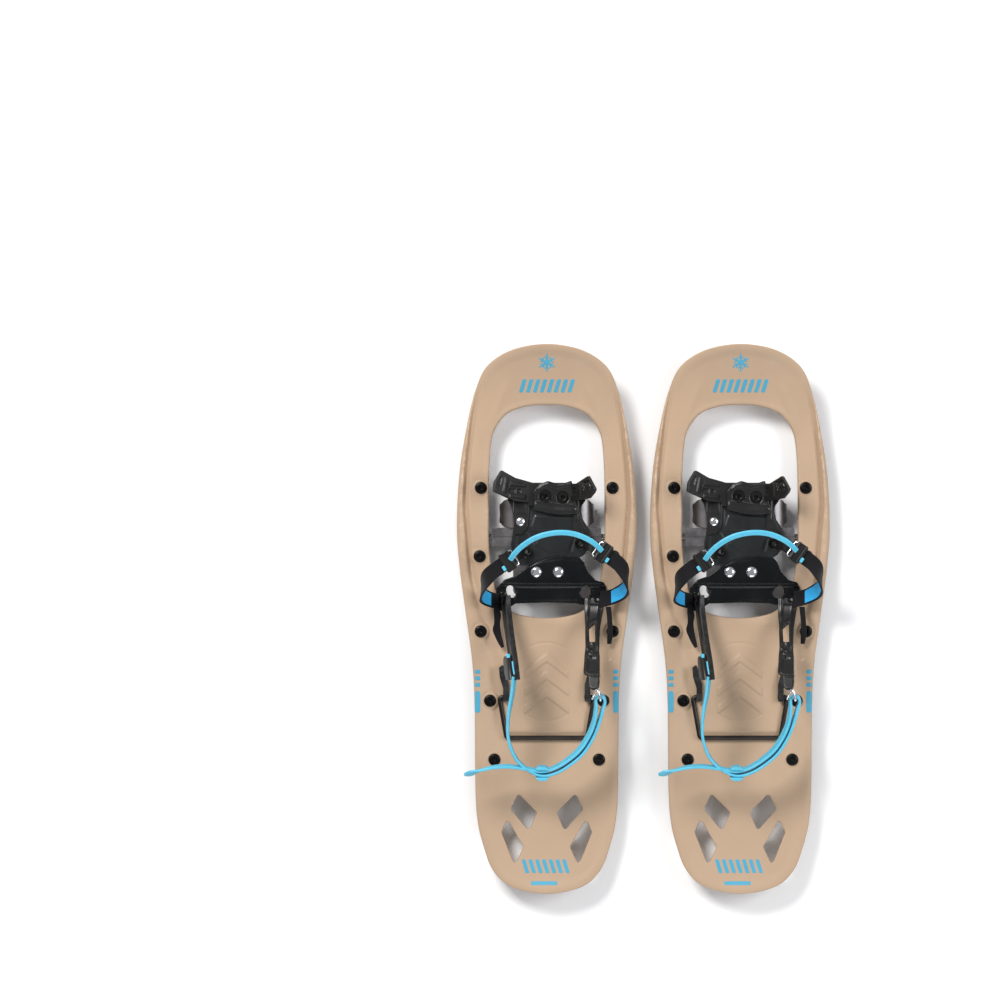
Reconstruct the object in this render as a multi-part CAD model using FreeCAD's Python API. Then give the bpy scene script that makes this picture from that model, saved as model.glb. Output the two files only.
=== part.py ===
"""A pair of composite-deck snowshoes with pivoting bindings, lying side by side on their traction rails.

Units are millimetres. +X points to the right shoe, +Y to the toes and +Z up. The origin is on the ground,
in the middle of the pair. Both shoes are the same assembly: each piece is made once in its shoe's own frame,
with x = 0 on the shoe's centre line and y = 0 at mid length, and then placed twice.
"""

import FreeCAD
import Part
import math
import os

V = FreeCAD.Vector
X_AXIS = V(1, 0, 0)
Y_AXIS = V(0, 1, 0)
Z_AXIS = V(0, 0, 1)

# Whole shoe
SHOE_LENGTH = 620.0
SHOE_WIDTH = 203.2
SHOE_GAP = 15.0
SHOE_X = (SHOE_WIDTH + SHOE_GAP) / 2
NOSE_Y = SHOE_LENGTH / 2

# Deck
DECK_TOP = 26.0
DECK_THICK = 4.0
RIDGE_WIDTH = 11.0
RIDGE_HEIGHT = 4.5
SKIRT_WIDTH = 3.5
SKIRT_DEPTH = 11.0
LIP_WIDTH = 3.0
LIP_DEPTH = 9.0
TOE_CURVE_Y = 190.0
TOE_RADIUS = 208.0
TAIL_CURVE_Y = -240.0
TAIL_RADIUS = 310.0
PAD_HEIGHT = 1.2
PAD_CENTRE_Y = -71.0

# Traction rails and their rivets
RIVET_SPOTS = [(74.3, 148.0), (75.7, 70.8), (74.5, -14.0), (63.9, -92.2), (59.0, -158.7)]
RIVET_HEAD_R = 6.6
RIVET_SHANK_R = 3.0
RAIL_THICK = 2.0
RAIL_DEPTH = 20.0
TOOTH_PITCH = 17.0
TOOTH_DEPTH = 12.0
TOOTH_TIP = 2.0

# Binding pivot
AXLE_Y = 92.6
AXLE_Z = 15.0
AXLE_R = 3.5
AXLE_RUN = 0.07
LUG_INNER_X = 65.4
LUG_OUTER_X = 70.0

# Binding levels
PLATE_THICK = 2.5
PLATE_TOP = 26.5
BED_TOP = 30.0
HARNESS_TOP = 34.0
BED_HALF = 38.0

# Heel lifter
LIFTER_Y = -88.0
LIFTER_Z = 29.2
LIFTER_WIRE_R = 2.5
LIFTER_REACH = 46.0
LIFTER_BAR_HALF = 45.5
LIFTER_PIVOT_HALF = 53.5

# Heel strap
STRAP_WIDTH = 15.0
STRAP_THICK = 3.0
STRAP_LOW_Z = 84.0
STRAP_DROOP = 8.0
STRAP_ROOT_Y = -68.0
KEEPER_SPOT = V(-5.3, -174.3, 0)

# The right half of the deck's outline and of its toe opening, from nose to tail
DECK_HALF = [
    (0, NOSE_Y), (39, 303.5), (67, 285.5), (80.2, 258.5), (89.3, 222), (98.2, 168), (SHOE_WIDTH / 2, 106),
    (98.6, 60), (91.4, 5.6), (84.2, -48), (81.4, -100), (80.6, -190), (77.9, -229), (71.5, -256),
    (61, -283), (40, -302), (0, -NOSE_Y),
]
OPENING_HALF = [
    (0, 241.5), (22.3, 240), (45, 231.4), (58.5, 213.4), (63, 195), (65, 160), (65.3, 120), (65, 83.5),
    (60, 42.9), (53, 22), (40, 9), (22, 3), (0, 1),
]
TAIL_HOLES = [
    [(-32.3, -197.1), (-11.2, -218.2), (-20.2, -239.2), (-40.8, -214.5)],
    [(-44.5, -225.6), (-26.3, -257.4), (-36.1, -278.3), (-51.0, -240.8)],
]


# ---------------------------------------------------------------- shape helpers
def curve(points, closed=False):
    """A smooth edge through the points."""
    line = Part.BSplineCurve()
    line.interpolate(Points=[V(*p) for p in points], PeriodicFlag=closed)
    return line.toShape()


def full_loop(half):
    """The closed list of points that a right half and its mirror image make."""
    return list(half) + [(-x, y) for x, y in reversed(half[1:-1])]


def grown(loop, distance):
    """A clockwise closed loop of points, moved outwards by distance."""
    moved = []
    for i, (x, y) in enumerate(loop):
        x0, y0 = loop[i - 1]
        x1, y1 = loop[(i + 1) % len(loop)]
        run = math.hypot(x1 - x0, y1 - y0)
        moved.append((x - (y1 - y0) / run * distance, y + (x1 - x0) / run * distance))
    return moved


def column(loop, low, high):
    """An upright solid on a smooth closed loop."""
    base = Part.Face(Part.Wire([curve([(x, y, low) for x, y in loop], closed=True)]))
    return base.extrude(V(0, 0, high - low))


def slab(points, low, high):
    """An upright solid on a straight-sided outline."""
    corners = [V(x, y, low) for x, y in points]
    return Part.Face(Part.makePolygon(corners + corners[:1])).extrude(V(0, 0, high - low))


def rounded_slab(points, radius, low, high):
    """An upright solid on a straight-sided outline with rounded corners."""
    corners = [V(x, y, low) for x, y in points]
    count = len(corners)
    edges = []
    cuts = []
    for i, corner in enumerate(corners):
        back = (corners[i - 1] - corner).normalize()
        ahead = (corners[(i + 1) % count] - corner).normalize()
        half = back.getAngle(ahead) / 2
        reach = radius / math.tan(half)
        middle = corner + (back + ahead).normalize() * (radius / math.sin(half) - radius)
        cuts.append((corner + back * reach, middle, corner + ahead * reach))
    for i, (start, middle, end) in enumerate(cuts):
        edges.append(Part.Arc(start, middle, end).toShape())
        edges.append(Part.LineSegment(end, cuts[(i + 1) % count][0]).toShape())
    return Part.Face(Part.Wire(edges)).extrude(V(0, 0, high - low))


def disc(x, y, low, high, radius):
    return Part.makeCylinder(radius, high - low, V(x, y, low))


def rod(x0, x1, y, z, radius):
    """A cylinder along X."""
    return Part.makeCylinder(radius, x1 - x0, V(x0, y, z), X_AXIS)


def joined(shapes):
    """One solid from several that overlap."""
    return shapes[0].fuse(shapes[1:]).removeSplitter()


def both_sides(shape):
    return Part.Compound([shape, shape.mirror(V(0, 0, 0), X_AXIS)])


def ribbon_outline(points, half_width):
    """The flat face of a band of even width along a smooth line in the plane."""
    sides = ([], [])
    for i, (x, y) in enumerate(points):
        x0, y0 = points[max(i - 1, 0)]
        x1, y1 = points[min(i + 1, len(points) - 1)]
        run = math.hypot(x1 - x0, y1 - y0)
        nx, ny = (y1 - y0) / run * half_width, -(x1 - x0) / run * half_width
        sides[0].append((x + nx, y + ny, 0))
        sides[1].append((x - nx, y - ny, 0))
    edges = [curve(sides[0]), curve(sides[1])]
    edges += [Part.makeLine(V(*sides[0][k]), V(*sides[1][k])) for k in (0, -1)]
    return Part.Face(Part.Wire(Part.__sortEdges__(edges)))


def band(stations, thickness):
    """A strap lofted through stations of (centre, direction across the strap, outward direction, width)."""
    sections = []
    for centre, across, outward, width in stations:
        across = V(across).normalize() * (width / 2)
        outward = V(outward)
        lean = across * (outward.dot(across) / across.dot(across))
        outward = (outward - lean).normalize() * (thickness / 2)
        centre = V(centre)
        corners = [centre + across + outward, centre - across + outward,
                   centre - across - outward, centre + across - outward]
        sections.append(Part.makePolygon(corners + corners[:1]))
    return Part.makeLoft(sections, True, False)


def dome(x, y, z, radius, height):
    """A rivet or screw head: a cap of a ball on a flat base."""
    ball = (radius ** 2 + height ** 2) / (2 * height)
    sphere = Part.makeSphere(ball, V(x, y, z + height - ball))
    return sphere.common(disc(x, y, z, z + height + 1, radius + 1))


def turned(shape, degrees, centre, axis=Z_AXIS):
    shape = shape.copy()
    shape.rotate(V(*centre), axis, degrees)
    return shape


# ---------------------------------------------------------------- deck
def layer(low, high):
    """The space between two heights above the deck's top, curving up at the nose and a little at the tail."""
    def side(height):
        toe_r, tail_r = TOE_RADIUS - height, TAIL_RADIUS - height
        toe = [(TOE_CURVE_Y + toe_r * math.sin(a), DECK_TOP + TOE_RADIUS - toe_r * math.cos(a))
               for a in (0, math.radians(20), math.radians(39))]
        tail = [(TAIL_CURVE_Y - tail_r * math.sin(a), DECK_TOP + TAIL_RADIUS - tail_r * math.cos(a))
                for a in (0, math.radians(8), math.radians(15))]
        toe, tail = ([V(-SHOE_WIDTH, y, z) for y, z in arc] for arc in (toe, tail))
        edges = [Part.Arc(*tail).toShape(), Part.makeLine(tail[0], toe[0]), Part.Arc(*toe).toShape()]
        return edges, tail[2], toe[2]

    lower, tail_low, toe_low = side(low)
    upper, tail_high, toe_high = side(high)
    ends = [Part.makeLine(tail_low, tail_high), Part.makeLine(toe_low, toe_high)]
    outline = Part.Wire(Part.__sortEdges__(lower + upper + ends))
    return Part.Face(outline).extrude(V(2 * SHOE_WIDTH, 0, 0))


def grip_pattern():
    """Three raised chevrons on the heel pad."""
    bars = []
    for row in range(3):
        y = PAD_CENTRE_Y - 22 + 20 * row
        half = [(0, y + 14), (26, y - 4), (26, y - 12), (0, y + 6)]
        bars.append(slab(half + [(-26, y - 12), (-26, y - 4)], DECK_TOP, DECK_TOP + PAD_HEIGHT + 0.8))
    return bars


def deck():
    low, high = -20.0, 120.0
    outer = full_loop(DECK_HALF)
    opening = full_loop(OPENING_HALF)
    body = column(outer, low, high)
    ridge = body.cut(column(grown(outer, -RIDGE_WIDTH), low, high)).common(layer(-1, RIDGE_HEIGHT))
    skirt = body.cut(column(grown(outer, -SKIRT_WIDTH), low, high)).common(layer(-SKIRT_DEPTH, -1))
    plate = body.common(layer(-DECK_THICK, 0))
    lip = column(grown(opening, LIP_WIDTH), DECK_TOP - LIP_DEPTH, DECK_TOP - 1)
    lip = lip.common(layer(-LIP_DEPTH, -1))
    pad = rounded_slab([(41, -4), (-41, -4), (-41, -128), (41, -128)], 9, DECK_TOP - 1, DECK_TOP + PAD_HEIGHT)
    lugs = both_sides(slab([(LUG_INNER_X, AXLE_Y - 9), (LUG_OUTER_X, AXLE_Y - 9), (LUG_OUTER_X, AXLE_Y + 9),
                            (LUG_INNER_X, AXLE_Y + 9)], AXLE_Z - 6, DECK_TOP - 1))
    solid = joined([plate, ridge, skirt, lip, pad, *lugs.Solids, *grip_pattern()])
    solid = solid.cut(column(opening, low, high))
    for hole in TAIL_HOLES:
        cutter = rounded_slab(hole, 3.0, low, high)
        solid = solid.cut(both_sides(cutter))
    for x, y in RIVET_SPOTS:
        solid = solid.cut(both_sides(disc(x, y, low, high, RIVET_SHANK_R + 0.1)))
        solid = solid.cut(both_sides(disc(x, y, DECK_TOP, high, RIVET_HEAD_R + 0.6)))
    return solid.cut(rod(-LUG_OUTER_X - 5, LUG_OUTER_X + 5, AXLE_Y, AXLE_Z, AXLE_R + 0.05))


# ---------------------------------------------------------------- traction rails
def rail_line(offset):
    """The line of a rail, moved outwards from its rivets."""
    ends = [(73.6, 176.0)], [(57.8, -180.0)]
    return [(x + offset, y) for x, y in ends[0] + RIVET_SPOTS + ends[1]]


def tooth_gaps():
    """The notches between the teeth, seen from the side and cut right across a rail."""
    points = [(-200.0, -1.0)]
    y = -181.0 + TOOTH_TIP / 2
    while y < 190:
        points += [(y, -1.0), (y, 0.0), (y + (TOOTH_PITCH - TOOTH_TIP) / 2, TOOTH_DEPTH),
                   (y + TOOTH_PITCH - TOOTH_TIP, 0.0), (y + TOOTH_PITCH - TOOTH_TIP, -1.0)]
        y += TOOTH_PITCH
    corners = [V(0, p, z) for p, z in points[1:]]
    return Part.Face(Part.makePolygon(corners + corners[:1])).extrude(V(SHOE_WIDTH, 0, 0))


def traction_rails():
    top = DECK_TOP - DECK_THICK
    blade = ribbon_outline(rail_line(5.0), RAIL_THICK / 2).extrude(V(0, 0, top))
    flange = ribbon_outline(rail_line(0.0), 4.6).extrude(V(0, 0, RAIL_THICK))
    flange.translate(V(0, 0, top - RAIL_THICK))
    rail = joined([blade, flange]).cut(tooth_gaps())
    for x, y in RIVET_SPOTS:
        rail = rail.cut(disc(x, y, 0, top + 1, RIVET_SHANK_R + 0.1))
    return both_sides(rail)


def rail_rivets():
    made = []
    for x, y in RIVET_SPOTS:
        under = DECK_TOP - DECK_THICK - RAIL_THICK
        shank = disc(x, y, under - 1, DECK_TOP + 1, RIVET_SHANK_R)
        head = dome(x, y, DECK_TOP, RIVET_HEAD_R, 2.6)
        foot = disc(x, y, under - 1.8, under, 3.7)
        made += both_sides(joined([head, shank, foot])).Solids
    return Part.Compound(made)


# ---------------------------------------------------------------- pivot
def pivot_axle():
    reach = LUG_OUTER_X + 3.4
    return rod(-reach, reach, AXLE_Y, AXLE_Z, AXLE_R)


def axle_clips():
    ring = rod(LUG_OUTER_X + 0.2, LUG_OUTER_X + 2.8, AXLE_Y, AXLE_Z, 4.8)
    return both_sides(ring.cut(rod(LUG_OUTER_X, LUG_OUTER_X + 3, AXLE_Y, AXLE_Z, AXLE_R + 0.02)))


def pivot_bracket():
    """A steel strap folded round the axle, with a flat top that carries the crampon."""
    half = 61.6
    tube = rod(-half, half, AXLE_Y, AXLE_Z, 6.0)
    web = Part.makeBox(2 * half, 5, 8, V(-half, AXLE_Y - 2.5, AXLE_Z))
    top = PLATE_TOP - PLATE_THICK
    flat = rounded_slab([(half, AXLE_Y - 10.4), (-half, AXLE_Y - 10.4), (-half, AXLE_Y + 10.4),
                         (half, AXLE_Y + 10.4)], 1.5, top - 2.2, top)
    seam = Part.makeBox(2 * half + 2, 1.2, 1.0, V(-half - 1, AXLE_Y - 0.6, top - 0.8))
    solid = joined([tube, web, flat]).cut(seam)
    return solid.cut(rod(-half - 1, half + 1, AXLE_Y, AXLE_Z, AXLE_R + AXLE_RUN))


# ---------------------------------------------------------------- crampon and footbed
def clawed_plate(y, half, points_at, root_z, tip_z):
    """An upright steel plate whose lower edge runs into claws."""
    outline = [(-half, PLATE_TOP), (-half, root_z)]
    for centre in points_at:
        outline += [(centre - 8, root_z), (centre - 1, tip_z), (centre + 1, tip_z), (centre + 8, root_z)]
    outline += [(half, root_z), (half, PLATE_TOP)]
    corners = [V(x, y, z) for x, z in outline]
    return Part.Face(Part.makePolygon(corners + corners[:1])).extrude(V(0, PLATE_THICK, 0))


def crampon_wing():
    """The side of the crampon, folded down and outwards in a bow, with two claws below."""
    low = PLATE_TOP - PLATE_THICK
    profile = [(34, PLATE_TOP), (38.5, PLATE_TOP), (47.5, 23.0), (52.5, 16.0), (53.6, 4.5),
               (51.2, 4.5), (50.2, 15.2), (46.2, 20.8), (38, low), (34, low)]
    corners = [V(x, -18, z) for x, z in profile]
    wing = Part.Face(Part.makePolygon(corners + corners[:1])).extrude(V(0, 36, 0))
    bow = [(30, 17), (42, 16.4), (48, 14.8), (52, 9.5), (54, 2), (54, -2), (52, -9.5), (48, -14.8),
           (42, -16.4), (30, -17)]
    wing = wing.common(slab(bow, 0, 40))
    notch = [V(45, -6, 0), V(45, 6, 0), V(45, 0, 11)]
    wing = wing.cut(Part.Face(Part.makePolygon(notch + notch[:1])).extrude(V(15, 0, 0)))
    wing.translate(V(0, AXLE_Y + 26.6, 0))
    return wing


def toe_crampon():
    top = rounded_slab([(BED_HALF, 151), (-BED_HALF, 151), (-BED_HALF, 27), (BED_HALF, 27)], 8,
                       PLATE_TOP - PLATE_THICK, PLATE_TOP)
    front = clawed_plate(151 - PLATE_THICK, 30, (-20, 0, 20), 16, 2.0)
    rear = clawed_plate(30, 30, (-20, 20), 17, 3.0)
    wing = crampon_wing()
    solid = joined([top, front, rear, wing, wing.mirror(V(0, 0, 0), X_AXIS)])
    return solid.cut(slab([(20, 76), (-20, 76), (-14, 62), (14, 62)], 20, 30))


def footbed():
    """The forefoot plate, with two raised facets."""
    outline = [(BED_HALF, 150), (-BED_HALF, 150), (-BED_HALF, 66), (0, 70.6), (BED_HALF, 66)]
    base = rounded_slab(outline, 4, PLATE_TOP, BED_TOP)
    front = rounded_slab([(28, 118), (-12, 118), (-12, 100), (27, 98)], 2, BED_TOP - 0.5, BED_TOP + 0.8)
    rear = rounded_slab([(28, 93), (-11, 93), (4, 73), (24, 75)], 2, BED_TOP - 0.5, BED_TOP + 0.8)
    return joined([base, front, rear]).cut(heel_plate())


# ---------------------------------------------------------------- toe cradle
LEFT_FLARE_ROOT_X = 21.0
RIGHT_FLARE_ROOT_X = 26.0
LEFT_FLARE_TILT = 36.0
RIGHT_FLARE_TILT = 50.0
CRADLE_THICK = 3.6
POCKET_FLOOR = 1.6
LEFT_FLARE = [(-9, -15), (21, -12), (33, -7.4), (50.2, -1), (49, 9), (38.7, 23), (20, 14.5), (-9, 8)]
RIGHT_FLARE = [(-9, -13), (17, -11.2), (37.2, -8.6), (45.1, -2.2), (47.3, 1.8), (35.1, 16.7), (14, 8),
               (-9, 8)]
LEFT_POCKETS = [[(38, 15.6), (41, 5.5), (43.6, 6.3), (40.6, 16.5)]]
RIGHT_POCKETS = [[(25, 9), (37, 11), (40.5, 2), (28, 0.6)], [(5, 2.6), (14, 2.8), (14, -5), (5, -5)]]


def flare(outline, pockets, tilt, root_x):
    """The right toe wing: a broad tapered strap that rises outwards, with shallow pockets in its face."""
    wing = rounded_slab(outline, 2.2, 0, CRADLE_THICK)
    for pocket in pockets:
        wing = wing.cut(slab(pocket, POCKET_FLOOR, CRADLE_THICK + 1))
    wing = turned(wing, -tilt, (0, 0, 0), Y_AXIS)
    wing.translate(V(root_x, 145, BED_TOP))
    return wing


def toe_cradle():
    middle = rounded_slab([(27, 156), (-27, 156), (-30, 131), (30, 131)], 3, BED_TOP, BED_TOP + CRADLE_THICK)
    top = BED_TOP + CRADLE_THICK
    right_leg = rounded_slab([(44, 137), (24, 137), (30, 120), (29.5, 98), (34, 84), (44, 82), (50, 88),
                              (50.5, 95), (44.4, 102), (39.5, 111), (37.3, 119), (39.3, 127.5)], 2,
                             BED_TOP, top)
    left_leg = rounded_slab([(-45, 137), (-40.8, 129), (-38.7, 121), (-37, 107), (-37.5, 95), (-27, 96),
                             (-21.5, 104), (-19.5, 122), (-22, 137)], 2, BED_TOP, top)
    left = flare(LEFT_FLARE, LEFT_POCKETS, LEFT_FLARE_TILT, LEFT_FLARE_ROOT_X).mirror(V(0, 0, 0), X_AXIS)
    right = flare(RIGHT_FLARE, RIGHT_POCKETS, RIGHT_FLARE_TILT, RIGHT_FLARE_ROOT_X)
    solid = joined([middle, left_leg, right_leg, left, right])
    return solid.common(Part.makeBox(200, 200, 100, V(-100, 60, BED_TOP)))


def toe_clamp():
    """The cap that holds the cradle down, with a waved front edge."""
    z = BED_TOP + CRADLE_THICK
    front = curve([(-13.5, 153.5, z), (2, 156, z), (12, 153.5, z), (19, 154, z), (28, 157, z)])
    rear = curve([(-14.5, 125, z), (8, 121.5, z), (37, 120.5, z)])
    sides = [Part.makeLine(V(-13.5, 153.5, z), V(-14.5, 125, z)),
             Part.makeLine(V(28, 157, z), V(37, 120.5, z))]
    cap = Part.Face(Part.Wire(Part.__sortEdges__([front, rear] + sides))).extrude(V(0, 0, 3.2))
    return cap.cut(toe_cradle())


def toe_screws():
    z = BED_TOP + CRADLE_THICK + 3.2
    made = []
    for x, y in ((-1.7, 138.4), (18.0, 137.1)):
        head = disc(x, y, z, z + 2.4, 5.6).cut(disc(x, y, z + 1, z + 3, 2.4))
        made.append(head)
    return Part.Compound(made)


def bed_rivets():
    """The steel rivets: two through the heel plate into the crampon, one on the cradle's leg."""
    heads = [dome(x, 53.1, 31.0, 6.5, 2.6) for x in (-11.8, 13.1)]
    heads.append(dome(-29.5, 110, BED_TOP + CRADLE_THICK, 5.2, 2.2))
    return Part.Compound(heads)


# ---------------------------------------------------------------- heel plate and arms
def heel_plate():
    """The harness plate under the ball of the foot, with a step across it and a hole at each rear corner."""
    z = PLATE_TOP
    front = curve([(-38, 54, z), (-16, 65, z), (8, 69.2, z), (34, 71, z)])
    corners = [(34, 71), (43, 64), (52, 46), (64, 40), (66, 14), (57, 10), (44, 17.5), (0, 18.6),
               (-36, 17), (-50, 9), (-52, 38), (-44, 46), (-38, 54)]
    sides = [Part.makeLine(V(*a, z), V(*b, z)) for a, b in zip(corners, corners[1:])]
    plate = Part.Face(Part.Wire(Part.__sortEdges__([front] + sides))).extrude(V(0, 0, 4.5))
    step = slab([(63, 39.4), (-50, 39.4), (-50, 36.6), (63, 36.6)], 31 - 0.5, 31.7)
    plate = joined([plate, step])
    for x, tilt in ((43.5, -25), (-40.0, 25)):
        hole = rounded_slab([(-6.5, -8), (6.5, -8), (6.5, 8), (-6.5, 8)], 6, 20, 40)
        hole = turned(hole, tilt, (0, 0, 0))
        hole.translate(V(x, 28.5, 0))
        plate = plate.cut(hole)
    return plate


def strap_arm():
    """The upright arm that rises from the heel plate to the strap's fixed end."""
    across = V(0.35, 0, 0.94)
    outward = V(-1, -0.1, 0)
    stations = [
        ((-46.5, 27, 41), across, outward, 17), ((-45, 8, 47), across, outward, 15),
        ((-41.5, -20, 61), across, outward, 15), ((-38, -45, 78), across, outward, 16),
        ((-35.6, -67, 91), across, outward, 17),
    ]
    clip = band([((-43.4, -43, 77), across, outward, 14), ((-41, -66, 90), across, outward, 17)], 7.0)
    return joined([band(stations, 6.4), clip])


def buckle_arm():
    """The arm that carries the buckle: a flat slotted strap, turned so that its face looks up."""
    across = V(1, 0, 0.12)
    outward = V(0, 0.5, 0.87)
    stations = [
        ((54, 24, 33.8), across, V(0, 0.1, 1), 24), ((52.5, 8, 38), across, outward, 23),
        ((51, -12, 50), across, outward, 17), ((51, -38, 66), across, outward, 16.5),
        ((50, -66, 85.4), across, outward, 18),
    ]
    arm = band(stations, 4.2)
    slot = slab([(48, -7), (55, 0), (55, -26.5), (48, -26.5)], 20, 90)
    tip_stations = [((52.2, -60, 81.8), across, outward, 12.5), ((53, -78, 90.8), across, outward, 11)]
    tip = band(tip_stations, 3.6)
    return joined([arm, tip]).cut(slot)


def arm_rivets():
    made = []
    for x, y, z, head_r in ((57.5, 22.5, 35.9, 4.6), (50.0, -42.5, 69.6, 4.2)):
        made.append(dome(x, y, z, head_r, 2.0))
    pin = Part.makeCylinder(4.6, 3.0, V(-53.0, 22.0, 41.0), X_AXIS)
    return Part.Compound(made + [pin])


# ---------------------------------------------------------------- webbing over the instep
WEB_THICK = 2.0
WEB_WIDTH = 18.0


def long_webbing():
    """From the heel plate out, up and forward over the side of the boot to the loop buckle."""
    return band([
        ((60, 22, 39.6), V(0, 1, 0), V(0, 0, -1), WEB_WIDTH),
        ((73, 25, 40.2), V(0, 1, 0), V(0.3, 0, -1), WEB_WIDTH),
        ((85, 31, 45), V(-0.35, 0.88, -0.28), V(0.7, 0.06, -0.69), WEB_WIDTH),
        ((90.5, 38, 59), V(-0.1, 0.86, -0.5), V(0.99, 0.03, -0.15), WEB_WIDTH),
        ((89, 49, 75), V(0.3, 0.78, -0.62), V(0.97, -0.07, 0.38), WEB_WIDTH),
        ((82.5, 60.5, 83.5), V(0.7, 0.7, -0.2), V(0.44, -0.19, 0.89), 17),
        ((73, 68.5, 87), V(0.6, 0.78, 0), V(0.16, -0.12, 0.97), 17),
        ((63.5, 75, 88.5), V(0.55, 0.83, 0), V(0, 0, 1), 17),
    ], WEB_THICK)


def short_webbing():
    """The same on the other side, where the loop is shorter."""
    return band([
        ((-54, 20, 37.0), V(0, 1, 0), V(0, 0, -1), WEB_WIDTH),
        ((-63, 22, 38.0), V(0, 1, 0), V(-0.3, 0, -1), WEB_WIDTH),
        ((-71, 26, 44), V(0.3, 0.9, -0.29), V(-0.85, 0.12, -0.5), WEB_WIDTH),
        ((-73.5, 32, 58), V(0.1, 0.88, -0.45), V(-0.99, 0.09, -0.05), WEB_WIDTH),
        ((-71, 41.5, 74), V(-0.3, 0.85, -0.5), V(-0.94, -0.09, 0.42), WEB_WIDTH),
        ((-64, 51, 83.5), V(-0.68, 0.7, -0.1), V(-0.4, -0.27, 0.86), 17),
        ((-54.5, 58.5, 87), V(-0.6, 0.8, 0), V(-0.15, -0.1, 0.98), 17),
        ((-45, 65, 88.5), V(-0.5, 0.86, 0), V(0, 0, 1), 17),
    ], WEB_THICK)


def webbing_tails():
    """The free ends of the webbing, hanging back beside the heel plate."""
    left = band([
        ((-57, 16, 38.2), V(1, 0.3, 0), V(0, 0, 1), 6), ((-55.5, 3, 39), V(1, 0.1, 0), V(0, 0, 1), 8),
        ((-56.5, -12, 36), V(1, 0, 0), V(0, 0, 1), 9), ((-53, -24, 34), V(1, 0.4, 0), V(0, 0, 1), 7),
        ((-49.5, -32, 32.5), V(1, 0.5, 0), V(0, 0, 1), 4),
    ], 2.4)
    right = band([
        ((69.5, 14, 40), V(0.8, 0, 0.6), V(0, 0, 1), 7), ((71, -2, 40), V(0.7, 0, 0.7), V(0, 0, 1), 7),
        ((71.5, -16, 36), V(0.7, 0, 0.7), V(0, 0, 1), 8), ((70.5, -28, 33), V(0.8, 0, 0.5), V(0, 0, 1), 6),
    ], 2.4)
    return Part.Compound([left, right])


BUCKLE_SPOTS = ((63.5, 75.0, 88.5, -35.0), (-44.0, 65.5, 88.5, 33.0))


def loop_buckles():
    """The flat sleeves that join the webbing to the instep strap."""
    made = []
    for x, y, z, angle in BUCKLE_SPOTS:
        block = rounded_slab([(-6.5, -11.5), (6.5, -11.5), (6.5, 11.5), (-6.5, 11.5)], 2.5, z - 3.4, z + 3.6)
        block.translate(V(x, y, 0))
        block = turned(block, angle, (x, y, z))
        made.append(block)
    return Part.Compound(made)


def instep_tongues():
    """The short straps from the loop buckles down to the footbed's side bolts."""
    right = band([
        ((59, 77.5, 88), V(0.55, 0.83, 0), V(0.3, 0, 1), 15),
        ((48.5, 84.5, 74), V(0.3, 0.9, 0.1), V(1, 0, 0.5), 15),
        ((46, 86, 55), V(0.1, 1, 0), V(1, 0, 0.1), 16), ((42, 85.5, 38), V(0, 1, 0), V(1, 0, 0.6), 16),
        ((36, 85, BED_TOP + CRADLE_THICK + 1.2), V(0, 1, 0), V(0.1, 0, 1), 16),
    ], 2.2)
    left = band([
        ((-40, 69, 88), V(-0.5, 0.86, 0), V(-0.3, 0, 1), 15),
        ((-32.5, 74.5, 74), V(-0.3, 0.9, 0.1), V(-1, 0, 0.5), 15),
        ((-31.5, 76, 55), V(-0.1, 1, 0), V(-1, 0, 0.1), 16), ((-27.5, 76, 38), V(0, 1, 0), V(-1, 0, 0.6), 16),
        ((-21, 76, BED_TOP + 1.4), V(0, 1, 0), V(-0.1, 0, 1), 16),
    ], 2.2)
    return Part.Compound([right, left])


def side_bolts():
    spots = ((36.5, 85.2, BED_TOP + CRADLE_THICK + 2.6), (-21.5, 75.8, BED_TOP + 2.8))
    return Part.Compound([dome(x, y, z, 5.8, 2.2) for x, y, z in spots])


def wire(points, radius, bend):
    """A round wire along straight runs with even bends."""
    corners = [V(*p) for p in points]
    edges = []
    start = corners[0]
    for i in range(1, len(corners) - 1):
        corner = corners[i]
        back = (corners[i - 1] - corner).normalize()
        ahead = (corners[i + 1] - corner).normalize()
        half = back.getAngle(ahead) / 2
        reach = bend / math.tan(half)
        middle = corner + (back + ahead).normalize() * (bend / math.sin(half) - bend)
        edges.append(Part.makeLine(start, corner + back * reach))
        edges.append(Part.Arc(corner + back * reach, middle, corner + ahead * reach).toShape())
        start = corner + ahead * reach
    edges.append(Part.makeLine(start, corners[-1]))
    path = Part.Wire(edges)
    section = Part.Wire(Part.makeCircle(radius, corners[0], corners[1] - corners[0]))
    return path.makePipeShell([section], True, True)


def instep_strap():
    """The ribbed strap that pulls the binding closed: an arch from one loop buckle to the other."""
    points = [V(-41, 67.5, 91.2), V(-36.5, 74, 94.5), V(-28, 82.5, 98), V(-14, 91.5, 101.5),
              V(2, 96.5, 103.5),
              V(18, 97.8, 104), V(33, 95.5, 102.5), V(47, 89.5, 99), V(55.5, 83.5, 95), V(61.3, 77.5, 91.2)]
    stations = []
    for i, point in enumerate(points):
        ahead = points[min(i + 1, len(points) - 1)] - points[max(i - 1, 0)]
        across = V(-ahead.y, ahead.x, 0)
        stations.append((point, across, ahead.cross(across), 7.2))
    return band(stations, 4.2)


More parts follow.
